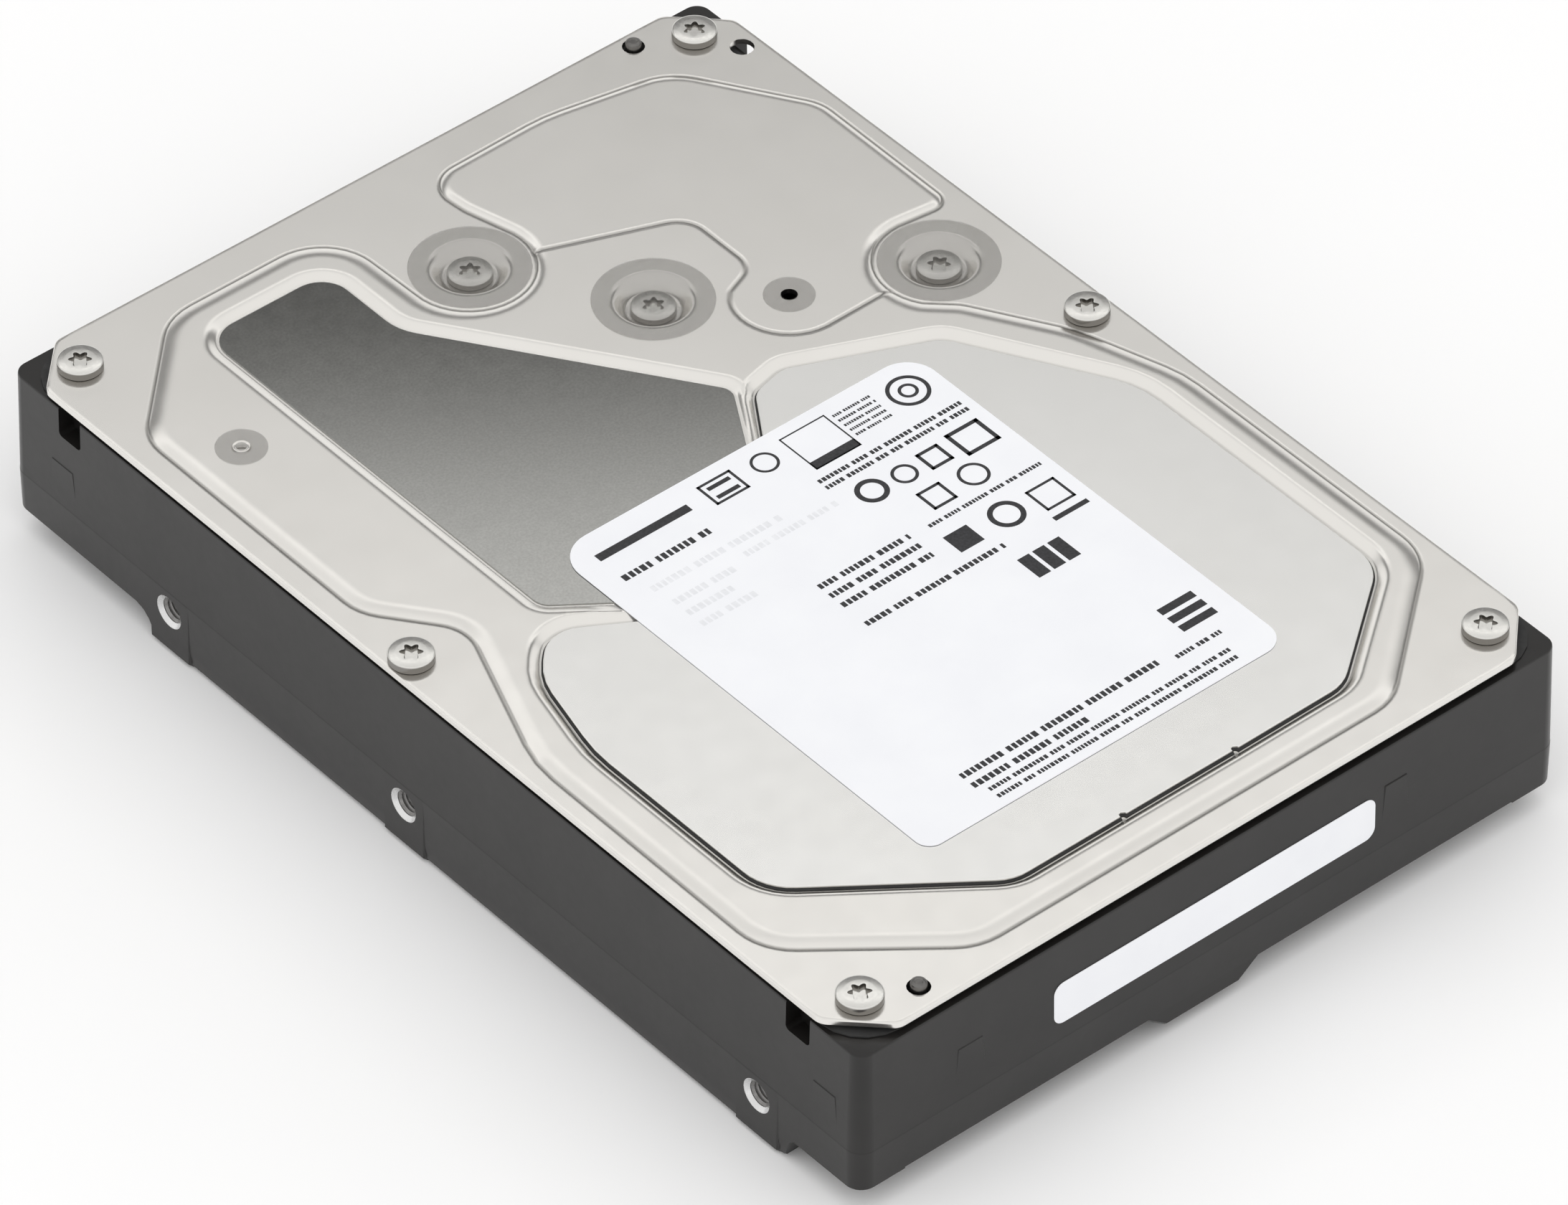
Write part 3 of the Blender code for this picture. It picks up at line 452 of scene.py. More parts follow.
def make_paint(name, base, metallic, low, high, grain, rough, rough_grain=None, bumps=()):
    """Soft patches of two colours. Base is (*colour, roughness), and a bump (grain, detail, height)."""
    made = bpy.data.materials.new(name)
    made.use_nodes = True
    PAINTS[name] = made
    tree = made.node_tree
    shader = tree.nodes["Principled BSDF"]
    fill(tree, shader, {"Base Color": (*base[:3], 1.0), "Metallic": metallic, "Roughness": base[3]})
    patches = spread(tree, noise(tree, grain), 0.0, 1.0)
    wander = spread(tree, noise(tree, rough_grain or grain / 3), *rough)
    fill(tree, shader, {"Base Color": blend_colours(tree, patches, low, high), "Roughness": wander})
    for bump_grain, detail, height in bumps:
        bump(tree, shader, noise(tree, bump_grain, detail), height)
    return tree, shader


def paint_plated_steel():
    """Zinc-plated sheet with a satin skin: a fine orange peel, a slow waviness, and painted shade that
    darkens it in creases and at feet.
    """
    tree, shader = make_paint(
        "plated_steel", (0.80, 0.79, 0.765, 0.3), 1.0, (0.80, 0.782, 0.75), (0.82, 0.803, 0.772),
        12.0, (0.23, 0.25), 4.0, ((2.5, 1.0, 0.0006), (18.0, 1.0, 0.012)))
    # Painted shade: the 'crease' attribute darkens the base colour towards a shaded grey in creases, at the
    # raised field's foot and round the plate's pocket.
    crease = tree.nodes.new("ShaderNodeAttribute")
    crease.attribute_name = "crease"
    plain = shader.inputs["Base Color"].links[0].from_socket
    crease_shaded_colour = blend_colours(tree, crease.outputs["Fac"], plain, (0.36, 0.35, 0.33))
    tree.links.new(crease_shaded_colour, shader.inputs["Base Color"])


def paint_black_casting():
    """Electro-coated die casting: satin black over a faintly pebbled skin."""
    _, shader = make_paint(
        "black_casting", (0.02, 0.0195, 0.0195, 0.4), 0.0, (0.0098, 0.0090, 0.0085), (0.014, 0.0130, 0.0123),
        7.0, (0.28, 0.33), 1.2, ((0.4, 2.0, 0.003), (6.0, 2.0, 0.02)))
    shader.inputs["Specular IOR Level"].default_value = 0.4


def paint_metal(name, low, high, rough, grain=3.0, fine=0.2, height=0.0015):
    return make_paint(name, (*low, rough[0]), 1.0, low, high, grain, rough, fine * 3, ((fine, 2.0, height),))


def paint_plain(name, low, high, rough, grain, height, bump_grain):
    make_paint(name, (*low, rough[0]), 0.0, low, high, grain, rough, None, ((bump_grain, 3.0, height),))


def paint_screw_steel():
    """Plating painted light on the upright flats and darker on the steep walls of a head and of its recess,
    as painted shade.
    """
    tree, shader = make_paint(
        "screw_steel", (0.7, 0.69, 0.66, 0.22), 1.0, (0.7, 0.69, 0.66), (0.74, 0.73, 0.7),
        1.5, (0.2, 0.25), 0.4)
    # Painted shade: the steeper the surface, the darker its base colour.
    geometry = tree.nodes.new("ShaderNodeNewGeometry")
    split = tree.nodes.new("ShaderNodeSeparateXYZ")
    tree.links.new(geometry.outputs["Normal"], split.inputs["Vector"])
    share = spread(tree, split.outputs["Z"], 0.0, 1.0, 0.2, 0.85)
    colour = blend_colours(tree, share, (0.25, 0.24, 0.225), (0.76, 0.75, 0.72))
    tree.links.new(colour, shader.inputs["Base Color"])


def paint_turned(name, low, high, rough):
    """Turned metal, with fine rings round an upright axis suggested by a stretched grain."""
    tree, shader = paint_metal(name, low, high, rough)
    bump(tree, shader, noise(tree, 1.0, 2.0, stretched(tree, (1.0, 1.0, 12.0))), 0.003)


def paint_seal_film():
    """Smoky translucent film."""
    _, shader = make_paint(
        "seal_film", (0.22, 0.212, 0.196, 0.3), 0.0, (0.2, 0.193, 0.18), (0.23, 0.222, 0.207),
        3.0, (0.28, 0.34), 2.0)
    shader.inputs["Alpha"].default_value = 0.175


def paint_board():
    """Solder mask, with the traces beneath it as fine raised lines."""
    tree, shader = make_paint(
        "board_green", (0.008, 0.05, 0.028, 0.3), 0.0, (0.007, 0.042, 0.022), (0.012, 0.075, 0.04),
        1.2, (0.25, 0.36), 0.6)
    lines = tree.nodes.new("ShaderNodeTexBrick")
    fill(tree, lines, {"Scale": 1 / (3.0 * MM), "Mortar Size": 0.08, "Vector": place(tree)})
    bump(tree, shader, lines.outputs["Fac"], 0.03)


def paint_sheets():
    """The damping plate, with a tighter grain than the cover, and the evenly grained dark sheet."""
    make_paint(
        "damper_steel", (0.82, 0.815, 0.80, 0.3), 1.0, (0.84, 0.835, 0.815), (0.86, 0.855, 0.838),
        16.0, (0.24, 0.26), 3.0, ((1.5, 2.0, 0.0004), (22.0, 1.0, 0.01)))
    make_paint(
        "dark_sheet", (0.2, 0.2, 0.195, 0.3), 1.0, (0.28, 0.28, 0.268), (0.325, 0.325, 0.312),
        0.3, (0.07, 0.08), 2.0)


def paint_inks():
    """The label's black print, and its washed-out print."""
    make_paint(
        "ink", (0.016, 0.016, 0.018, 0.55), 0.0, (0.012, 0.012, 0.014), (0.03, 0.03, 0.034),
        0.3, (0.5, 0.62), 0.4)
    make_paint(
        "faint_ink", (0.74, 0.75, 0.78, 0.5), 0.0, (0.72, 0.73, 0.76), (0.8, 0.81, 0.84),
        1.0, (0.45, 0.55), 0.4)


def make_paints():
    paint_plated_steel()
    paint_sheets()
    paint_black_casting()
    paint_seal_film()
    paint_inks()
    paint_board()
    paint_screw_steel()
    paint_metal("cut_thread", (0.2, 0.195, 0.19), (0.3, 0.295, 0.29), (0.3, 0.4), 0.6)
    paint_metal("dowel_steel", (0.16, 0.155, 0.15), (0.22, 0.215, 0.205), (0.3, 0.38), 1.0)
    paint_metal("polished_disk", (0.75, 0.74, 0.73), (0.78, 0.77, 0.76), (0.04, 0.07), 20.0, 2.0, 0.0003)
    paint_turned("machined_aluminium", (0.7, 0.7, 0.7), (0.8, 0.8, 0.8), (0.22, 0.34))
    paint_metal("magnet_nickel", (0.6, 0.59, 0.56), (0.68, 0.67, 0.64), (0.15, 0.24), 4.0)
    paint_metal("copper_wire", (0.6, 0.25, 0.1), (0.72, 0.33, 0.15), (0.3, 0.42), 1.0, 0.15, 0.01)
    paint_metal("gold_contact", (0.83, 0.62, 0.25), (0.9, 0.7, 0.33), (0.2, 0.3), 1.0)
    paint_plain("label_paper", (0.84, 0.85, 0.885), (0.87, 0.88, 0.91), (0.42, 0.5), 8.0, 0.002, 0.3)
    paint_plain("gasket_rubber", (0.02, 0.02, 0.02), (0.03, 0.03, 0.03), (0.7, 0.85), 3.0, 0.01, 0.4)
    paint_plain("insulator_foam", (0.04, 0.04, 0.045), (0.07, 0.07, 0.075), (0.85, 0.95), 1.0, 0.08, 0.5)
    paint_plain("black_plastic", (0.014, 0.014, 0.015), (0.02, 0.02, 0.021), (0.36, 0.48), 2.0, 0.004, 0.25)
    paint_plain("ramp_plastic", (0.7, 0.67, 0.57), (0.76, 0.73, 0.63), (0.38, 0.48), 3.0, 0.003, 0.4)
    paint_plain("flex_film", (0.5, 0.24, 0.05), (0.6, 0.31, 0.08), (0.25, 0.35), 2.0, 0.004, 0.8)
    paint_plain("filter_cloth", (0.74, 0.74, 0.72), (0.84, 0.84, 0.82), (0.85, 0.95), 0.6, 0.06, 0.2)
    paint_plain("floor_paper", (0.95, 0.95, 0.955), (0.96, 0.96, 0.965), (0.6, 0.7), 60.0, 0.01, 3.0)


# ---- camera, floor and light

def direction_to(azimuth, elevation):
    """Unit vector from the drive. Azimuth 0 is in front of the drive, and a right angle is at its right."""
    flat = math.cos(elevation)
    return Vector((math.sin(azimuth) * flat, -math.cos(azimuth) * flat, math.sin(elevation)))


def aim_at_drive(made, away):
    made.rotation_mode = "QUATERNION"
    made.rotation_quaternion = (-away).to_track_quat("-Z", "Y")


def make_camera():
    data = bpy.data.cameras.new("camera")
    data.lens = LENS
    data.sensor_width = SENSOR
    data.clip_start = CLIP_START
    data.clip_end = CLIP_END
    made = add_object("camera", data)
    back = direction_to(AZIMUTH, ELEVATION)
    made.location = Vector(AIM) * MM + back * DISTANCE * MM
    aim_at_drive(made, back)
    bpy.context.scene.camera = made


def make_floor():
    """A plain floor at the drive's foot, as a few tiles."""
    row = FLOOR_TILES + 1
    marks = [FLOOR_SIDE * (i / FLOOR_TILES - 0.5) for i in range(row)]
    points = [(x, y, CAD_LOW.z) for y in marks for x in marks]
    starts = [j * row + i for j in range(FLOOR_TILES) for i in range(FLOOR_TILES)]
    faces = [(k, k + 1, k + row + 1, k + row) for k in starts]
    mesh = bpy.data.meshes.new("floor")
    mesh.from_pydata(points, [], faces)
    mesh.materials.append(PAINTS["floor_paper"])
    add_object("floor", mesh)


def make_key():
    """A square area light, aimed at the drive. The metal mirrors the sky and not this light."""
    data = bpy.data.lights.new("key", "AREA")
    data.shape = "RECTANGLE"
    data.size = KEY_SIDE
    data.size_y = KEY_SIDE
    data.energy = KEY_POWER
    made = add_object("key", data)
    away = direction_to(KEY_AZIMUTH, KEY_ELEVATION)
    made.location = away * KEY_DISTANCE
    made.visible_glossy = False
    aim_at_drive(made, away)


def make_light():
    """An even sky with a grey flag and a bright bank on the drive's far side, and one soft key."""
    world = bpy.data.worlds.new("studio")
    bpy.context.scene.world = world
    world.use_nodes = True
    tree = world.node_tree
    direction = tree.nodes.new("ShaderNodeTexCoord").outputs["Generated"]
    height = fill(tree, tree.nodes.new("ShaderNodeSeparateXYZ"), {"Vector": direction})
    bands = fill(tree, tree.nodes.new("ShaderNodeValToRGB"), {"Fac": height.outputs["Z"]})
    bands.color_ramp.interpolation = "EASE"
    stops = bands.color_ramp.elements
    while len(stops) < len(SKY_BANDS):
        stops.new(0.5)
    for stop, (z, light) in zip(stops, SKY_BANDS):
        stop.position = z
        stop.color = (light, light, light, 1.0)
    toward = tree.nodes.new("ShaderNodeVectorMath")
    toward.operation = "DOT_PRODUCT"
    fill(tree, toward, {0: direction, 1: DARK_SIDE})
    share = tree.nodes.new("ShaderNodeMapRange")
    share.interpolation_type = "SMOOTHSTEP"
    fill(tree, share, {"From Min": DARK_EDGE[0], "From Max": DARK_EDGE[1], "Value": toward.outputs["Value"]})
    mixed = tree.nodes.new("ShaderNodeMix")
    fill(tree, mixed, {"A": SKY_PLAIN, "B": bands.outputs["Color"], "Factor": share.outputs["Result"]})
    scale = tree.nodes.new("ShaderNodeMath")
    scale.operation = "MULTIPLY"
    fill(tree, scale, {0: mixed.outputs["Result"], 1: SKY_STRENGTH})
    fill(tree, tree.nodes["Background"], {"Color": SKY_TINT, "Strength": scale.outputs["Value"]})
    make_key()
    bpy.context.scene.view_settings.view_transform = "Standard"


# ---- cover

def cover_outline():
    low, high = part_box("top_cover")
    x = (low.x / MM, high.x / MM)
    y = (low.y / MM, high.y / MM)
    c = 6.0
    return rounded([
        (x[0] + c, y[0], 2), (x[1] - c, y[0], 2), (x[1], y[0] + c, 2), (x[1], y[1] - c, 2),
        (x[1] - c, y[1], 2), (x[0] + c, y[1], 2), (x[0], y[1] - c, 2), (x[0], y[0] + c, 2),
    ])


def raised_outline():
    """The raised field of the cover, which leaves out round pads at two of the inner screws."""
    rear, side = INNER_SCREWS[0], INNER_SCREWS[2]
    return rounded([
        (-47.3, 52.8, 7), (-32.6, 67.4, 8), (-9.2, 67.4, 7.5),
        arc(rear, PAD_R, math.radians(178), math.radians(370)),
        (4.7, 60.0, 5), (4.0, 67.0, 4.2), (22.0, 67.3, 22), (38.2, 64.1, 8), (48.1, 48.4, 6),
        (47.8, 25.3, 2.2),
        arc(side, PAD_R, math.radians(78), math.radians(215)),
        (37.0, 11.2, 5), (43.9, -0.4, 16), (48.2, -14.0, 16), (48.3, -53.8, 8), (29.4, -69.2, 8),
        (-30.4, -69.3, 8), (-48.4, -54.7, 8), (-48.2, -16.5, 18), (-39.9, 5.0, 5.5), (-47.4, 14.8, 7),
    ])


def crease_path():
    """The shallow crease that parts the field over the motor from the one round the pivot screw."""
    rear, side = INNER_SCREWS[0], INNER_SCREWS[2]
    start = polar(rear, PAD_R, math.radians(-22))
    end = polar(side, PAD_R, math.radians(184))
    around = arc(BREATHER, 6.8, math.radians(150), math.radians(268))
    path = rounded([start + (0,), (23.1, 42.4, 4), (23.0, 31.4, 3), (18.4, 29.6, 1.5), around, end + (0,)])
    return np.array(path)


def ramp(share, soft_start, soft_end):
    """From 0 to 1 along a straight slope, with its first and last stretches bent smoothly into the flats."""
    share = np.clip(share, 0, 1)
    steep = 1 / (1 - (soft_start + soft_end) / 2)
    early = steep * share ** 2 / (2 * soft_start)
    late = 1 - steep * (1 - share) ** 2 / (2 * soft_end)
    middle = steep * (share - soft_start / 2)
    return np.where(share < soft_start, early, np.where(share > 1 - soft_end, late, middle))


def groove(distance, half, deep):
    """Depth of a rounded groove at each distance from its middle."""
    return deep * (1 - np.clip(distance / half, 0, 1) ** 2) ** 2


def cover_height(points):
    """Level of the cover's upper face at each plan point."""
    inward = depth(points, RAISED_LINE)
    over_motor = np.clip((points[:, 0] + 10) / 14, 0, 1) * np.clip((points[:, 1] - 14) / 10, 0, 1)
    slope = RAISED_SLOPE + (NARROW_SLOPE - RAISED_SLOPE) * over_motor
    level = RIM + (RAISED - RIM) * ramp(inward / slope, CRISP, EASED)
    level -= groove(nearest(points, CREASE_LINE), CREASE_HALF, CREASE_DEPTH)
    level -= groove(np.abs(inward), FOOT_HALF, FOOT_DEPTH)
    off_label = -depth(points, rectangle(LABEL_X, LABEL_Y))
    level = np.minimum(level, RIM - 0.05 + np.clip(off_label / 3, 0, 1) * (RAISED - RIM + 0.05))
    for line, floor in zip(POCKET_LINES, (PLATE_POCKET, SHEET_POCKET)):
        share = ramp(depth(points, line) / POCKET_SLOPE + 1, SOFT, CRISP)
        level = level * (1 - share) + floor * share
    for middle in INNER_SCREWS:
        reach = np.hypot(points[:, 0] - middle[0], points[:, 1] - middle[1])
        share = ramp((LIP_R - reach) / (LIP_R - FLOOR_R), SOFT, CRISP)
        level = level * (1 - share) + DIMPLE_FLOOR * share
    reach = np.hypot(points[:, 0] - TEST_PORT[0], points[:, 1] - TEST_PORT[1])
    level -= PORT_DEPTH * ramp((PORT_LIP_R - reach) / (PORT_LIP_R - PORT_FLOOR_R), CRISP, CRISP)
    rim_depth = np.clip(depth(points, COVER_LINE), 0, EDGE_ROUND)
    level -= EDGE_ROUND - np.sqrt(EDGE_ROUND ** 2 - (EDGE_ROUND - rim_depth) ** 2)
    return level


def painted_crease_shade(points):
    """How far painted shade darkens the plating at each plan point: most in the bottom of a crease or at a
    foot.
    """
    shade = groove(nearest(points, CREASE_LINE), CREASE_HALF, 0.8)
    shade = np.maximum(shade, groove(np.abs(depth(points, RAISED_LINE)), FOOT_HALF, 1.0))
    return np.maximum(shade, groove(np.abs(depth(points, POCKET_LINES[0])), FOOT_HALF, 0.5))


def cover_loops():
    """The lines that the cover's mesh follows: (points, closed)."""
    loops = [(offset_loop(COVER_LINE, inset, 2.0), True) for inset in (0.0, 0.02, 0.06, EDGE_ROUND, 0.5)]
    shares = (0.0, 0.05, 0.1, 0.2, 0.32, 0.44, 0.56, 0.7, 0.84, 1.0)
    for share in shares:
        loops.append((offset_loop(RAISED_LINE, RAISED_SLOPE * share, 0.8), True))
        for line in POCKET_LINES:
            loops.append((offset_loop(line, -POCKET_SLOPE * share, 0.8), True))
    loops.append((offset_loop(RAISED_LINE, RAISED_SLOPE + 0.25, 0.8), True))
    for share in (-1.3, -1.0, -0.7, -0.35, 0.35, 0.7, 1.0):
        loops.append((offset_loop(RAISED_LINE, FOOT_HALF * share, 0.5), True))
    for line in POCKET_LINES:
        for extra in (0.12, -POCKET_SLOPE - 0.25):
            loops.append((offset_loop(line, extra, 0.8), True))
    for share in (-1.4, -1.0, -0.6, -0.25, 0.0, 0.25, 0.6, 1.0, 1.4):
        loops.append((beside(CREASE_LINE, CREASE_HALF * share), False))
    for middle in INNER_SCREWS:
        for share in (-0.15, 0.0, 0.13, 0.26, 0.4, 0.55, 0.7, 0.9, 0.95, 1.0, 1.1):
            loops.append((circle(middle, LIP_R + (FLOOR_R - LIP_R) * share, 56), True))
    for share in (-0.2, 0.0, 0.12, 0.5, 0.88, 1.0, 1.2):
        loops.append((circle(TEST_PORT, PORT_LIP_R + (PORT_FLOOR_R - PORT_LIP_R) * share, 32), True))
    return loops


def beside(path, shift):
    """An open path moved sideways by shift."""
    tangent = np.gradient(path, axis=0)
    tangent /= np.linalg.norm(tangent, axis=1)[:, None] + 1e-12
    return path + np.stack([-tangent[:, 1], tangent[:, 0]], axis=1) * shift


def cover_holes():
    """Each hole as (plan place, radius)."""
    holes = [(middle, 1.6) for middle in INNER_SCREWS]
    holes += [(middle, 1.7) for middle in COVER_SCREWS]
    holes += [(middle, 1.35) for middle in POSTS]
    return holes + [(TOOL_HOLE, 1.45), (BREATHER, 1.0)]


def make_cover():
    loops = cover_loops()
    holes = cover_holes()
    for middle, radius in holes:
        for extra in (0.0, 0.15):
            loops.append((circle(middle, radius + extra, 32), True))
    points, edges = [], []
    for loop, closed in loops:
        first = len(points)
        points += [Vector((float(x), float(y))) for x, y in loop]
        count = len(points) - first
        edges += [(first + i, first + (i + 1) % count) for i in range(count if closed else count - 1)]
    flat, _, triangles, _, _, _ = delaunay_2d_cdt(points, edges, [], 0, 1e-4)
    flat = np.array([tuple(point) for point in flat])
    triangles = np.array([tuple(face) for face in triangles if len(face) == 3])
    middles = flat[triangles].mean(axis=1)
    keep = inside(middles, np.array(COVER_LINE))
    for middle, radius in holes:
        keep &= np.hypot(middles[:, 0] - middle[0], middles[:, 1] - middle[1]) > radius * 0.985
    triangles = triangles[keep]
    used, index = np.unique(triangles, return_inverse=True)
    triangles = index.reshape(-1, 3)
    flat = flat[used]
    upper = np.column_stack([flat, cover_height(flat)])
    lower = upper - (0, 0, SHEET)
    edge = depth(flat, COVER_LINE) < 0.3
    lower[edge, 2] = RIM - SHEET
    count = len(upper)
    faces = [tuple(face) for face in triangles]
    faces += [tuple(int(i) + count for i in reversed(face)) for face in triangles]
    sides = np.concatenate([triangles[:, [0, 1]], triangles[:, [1, 2]], triangles[:, [2, 0]]])
    seen = {(int(a), int(b)) for a, b in sides}
    faces += [(b, a, a + count, b + count) for a, b in seen if (b, a) not in seen]
    mesh = mesh_of("cover", np.concatenate([upper, lower]), [tuple(int(i) for i in face) for face in faces])
    places = np.array([tuple(vertex.co) for vertex in mesh.vertices])[:, :2] / MM
    # Painted shade for the creases and feet, kept on the points for the plating to read.
    mesh.attributes.new("crease", "FLOAT", "POINT").data.foreach_set("value", painted_crease_shade(places))
    finish_object("cover", mesh, "plated_steel", stands_for=("top_cover",), angle=50)


def star_loop(middle, outer, inner, z, sides=48):
    """A six-lobed loop."""
    loop = []
    for i in range(sides):
        angle = 2 * math.pi * i / sides
        radius = (outer + inner) / 2 + (outer - inner) / 2 * math.cos(6 * angle)
        loop.append((*polar(middle, radius, angle), z))
    return loop


def star_screw(name, node):
    """A pan-head screw with a six-lobed recess, standing where its CAD node stands."""
    middle = centre(node)
    bottom, top = levels(node)
    foot = top - HEAD_HEIGHTS[node.split("_")[0]]
    profile = [(1.2, bottom), (1.45, bottom + 0.3), (1.45, foot)]
    profile += [(HEAD_R - 0.08, foot), (HEAD_R, foot + 0.08)]
    for i in range(6):
        angle = math.pi / 2 * i / 5
        radius = HEAD_R - HEAD_EDGE * (1 - math.cos(angle))
        profile.append((radius, top - HEAD_CROWN - HEAD_EDGE * (1 - math.sin(angle)) * 0.8))
    profile += [(1.9, top - 0.01), (1.7, top)]
    loops = turned_loops(profile, middle, 48)
    for outer, inner, sunk in ((1.36, 0.86, 0), (1.34, 0.84, 0.03), (1.26, 0.78, 0.5), (0.4, 0.38, 0.5)):
        loops.append(star_loop(middle, outer, inner, top - sunk))
    mesh = mesh_of(name, *loft(loops))
    turned = random.Random(node).uniform(0, 1)
    spin = Matrix.Translation((middle[0] * MM, middle[1] * MM, 0))
    mesh.transform(spin @ Matrix.Rotation(turned, 4, "Z") @ spin.inverted())
    finish_object(name, mesh, "screw_steel", stands_for=(node,), angle=40)


def make_screws():
    for i in range(1, 7):
        star_screw(f"pan_screw_{i}", f"cover_screw_{i}")
    for i in range(1, 4):
        star_screw(f"dimple_screw_{i}", f"inner_screw_{i}")


def film_levels(node):
    """Bottom and top of a film: one that stands on the raised field follows it down."""
    bottom, top = levels(node)
    drop = SEAL_DROP if bottom > RIM + 0.2 else 0.0
    return bottom - drop, top - drop


def make_seals():
    for i in range(1, 4):
        node = f"screw_seal_{i}"
        low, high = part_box(node)
        radius = (high.x - low.x) / 2 / MM
        bottom, top = film_levels(node)
        solid = slab(circle(centre(node), radius, 64), bottom, top, 0.03)
        make_piece(f"film_{i}", solid, "seal_film", stands_for=(node,))
    bottom, top = film_levels("port_seal")
    solid = slab(circle(TEST_PORT, 3.0, 48), bottom, top, 0.03)
    make_piece("port_film", solid, "seal_film", stands_for=("port_seal",))
    bead = [(0.7, top - 0.01), (0.98, top - 0.01), (1.0, top + 0.02), (0.92, top + 0.07), (0.78, top + 0.07),
            (0.68, top + 0.02)]
    make_piece("port_bead", tube(turned_loops(bead, TEST_PORT, 48)), "plated_steel")
    ring = [(0.95, bottom), (3.0, bottom), (3.0, top - 0.02), (2.97, top), (0.98, top), (0.95, top - 0.02)]
    solid = tube(turned_loops(ring, BREATHER, 48))
    make_piece("breather_film", solid, "seal_film", stands_for=("breather_seal",))


def damper_outline():
    """The round damping plate, with two small carrier notches in its front edge."""
    notches = [arc((x, -63.7), 0.45, math.pi, 0.0, 6) for x in (-5.0, 11.2)]
    return rounded([
        (-41.9, -47.4, 7), (-20.6, -63.7, 6), *notches, (27.2, -63.6, 6), (43.1, -51.6, 6), (43.1, -12, 12),
        (31.5, 8.2, 4), (14.5, 15.9, 3), (9.6, 14.8, 3), (1, 2, 3), (-5, -7, 5), (-20, -9.0, 5),
        (-33.4, -0.7, 4.5), (-38.8, -6.2, 10), (-41.9, -19, 22),
    ])


def sheet_outline():
    return rounded([
        (-31.4, 62.0, 3.8), (-14.1, 61.9, 3.8), (-14.1, 49.0, 7), (8.0, 16.8, 2), (2.4, 7.5, 2),
        (-3.8, -1.0, 3), (-8, -5.0, 3), (-19.5, -6.1, 4), (-31.4, 2.9, 2.4),
    ])


def make_dampers():
    top = levels("damper_plate")[1]
    solid = slab(damper_outline(), PLATE_POCKET + GAP_SHADE_T + 0.02, top, 0.1)
    make_piece("damping_plate", solid, "damper_steel", ("damper_plate",))
    # Painted shade: a black ring, wider than the plate, darkens the gap between the plate and its pocket
    # wall.
    gap_shade_outline = shrink(damper_outline(), -GAP_SHADE_OUT)
    solid = slab(gap_shade_outline, PLATE_POCKET, PLATE_POCKET + GAP_SHADE_T, 0.04)
    make_piece("plate_gap_shade", solid, "gasket_rubber")
    solid = slab(sheet_outline(), SHEET_POCKET, SHEET_TOP, 0.05)
    make_piece("damping_sheet", solid, "dark_sheet", stands_for=("damper_sheet",))


def make_label():
    bottom, top = levels("main_label")
    x, y = LABEL_X, LABEL_Y
    outline = rounded([(x[0], y[0], 2), (x[1], y[0], 3), (x[1], y[1], 4), (x[0], y[1], 4.5)])
    make_piece("label", slab(outline, bottom, top, 0.03), "label_paper", stands_for=("main_label",))


def make_front_label():
    low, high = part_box("front_label")
    width = (high.x - low.x) / MM
    lean = math.atan2(high.y - low.y - 0.06 * MM, high.z - low.z)
    solid = slab(rectangle((-width / 2, width / 2), (-2.9, 2.9), 1.4), -0.03, 0.03, 0.02)
    mesh = mesh_of("end_label", *solid)
    middle = (low + high) / 2 + Vector((0, -0.07 * MM, 0))
    mesh.transform(Matrix.Translation(middle) @ Matrix.Rotation(math.radians(90) - lean, 4, "X"))
    finish_object("end_label", mesh, "label_paper", stands_for=("front_label",))


# ---- casting

def side_slab(outline, x, edge=0.0):
    """A plate that stands across X: the outline is (y, z), and x its two faces, the rounded one last."""
    loops = [[(x[0], y, z) for y, z in outline]]
    if edge:
        loops.append([(x[1] - math.copysign(edge, x[1] - x[0]), y, z) for y, z in outline])
        outline = shrink(outline, edge)
    loops.append([(x[1], y, z) for y, z in outline])
    return loft(loops)


def end_slab(outline, y, edge=0.0):
    """A plate that stands across Y: the outline is (x, z), and y its two faces, the rounded one last."""
    points, faces = side_slab(outline, y, edge)
    return [(b, a, c) for a, b, c in points], faces


def wall_stations():
    """Places round the wall: an anchor one corner radius in, the way out, and whether it is a land."""
    x, y = HALF_W - CORNER_R, HALF_L - CORNER_R
    lines = []
    for hole in SIDE_HOLES_Y:
        lines += [(hole - 3.5, 0), (hole - 3.3, 1), (hole + 3.4, 1), (hole + 3.6, 0)]
    lines.sort()
    corner = [math.pi / 2 * i / 8 for i in range(9)]
    stations = [((x, at), 0.0, land) for at, land in lines]
    stations += [((x, y), angle, 0) for angle in corner]
    stations += [((-x, y), angle + math.pi / 2, 0) for angle in corner]
    stations += [((-x, at), math.pi, land) for at, land in reversed(lines)]
    stations += [((-x, -y), angle + math.pi, 0) for angle in corner]
    stations += [((x, -y), angle + 1.5 * math.pi, 0) for angle in corner]
    return stations


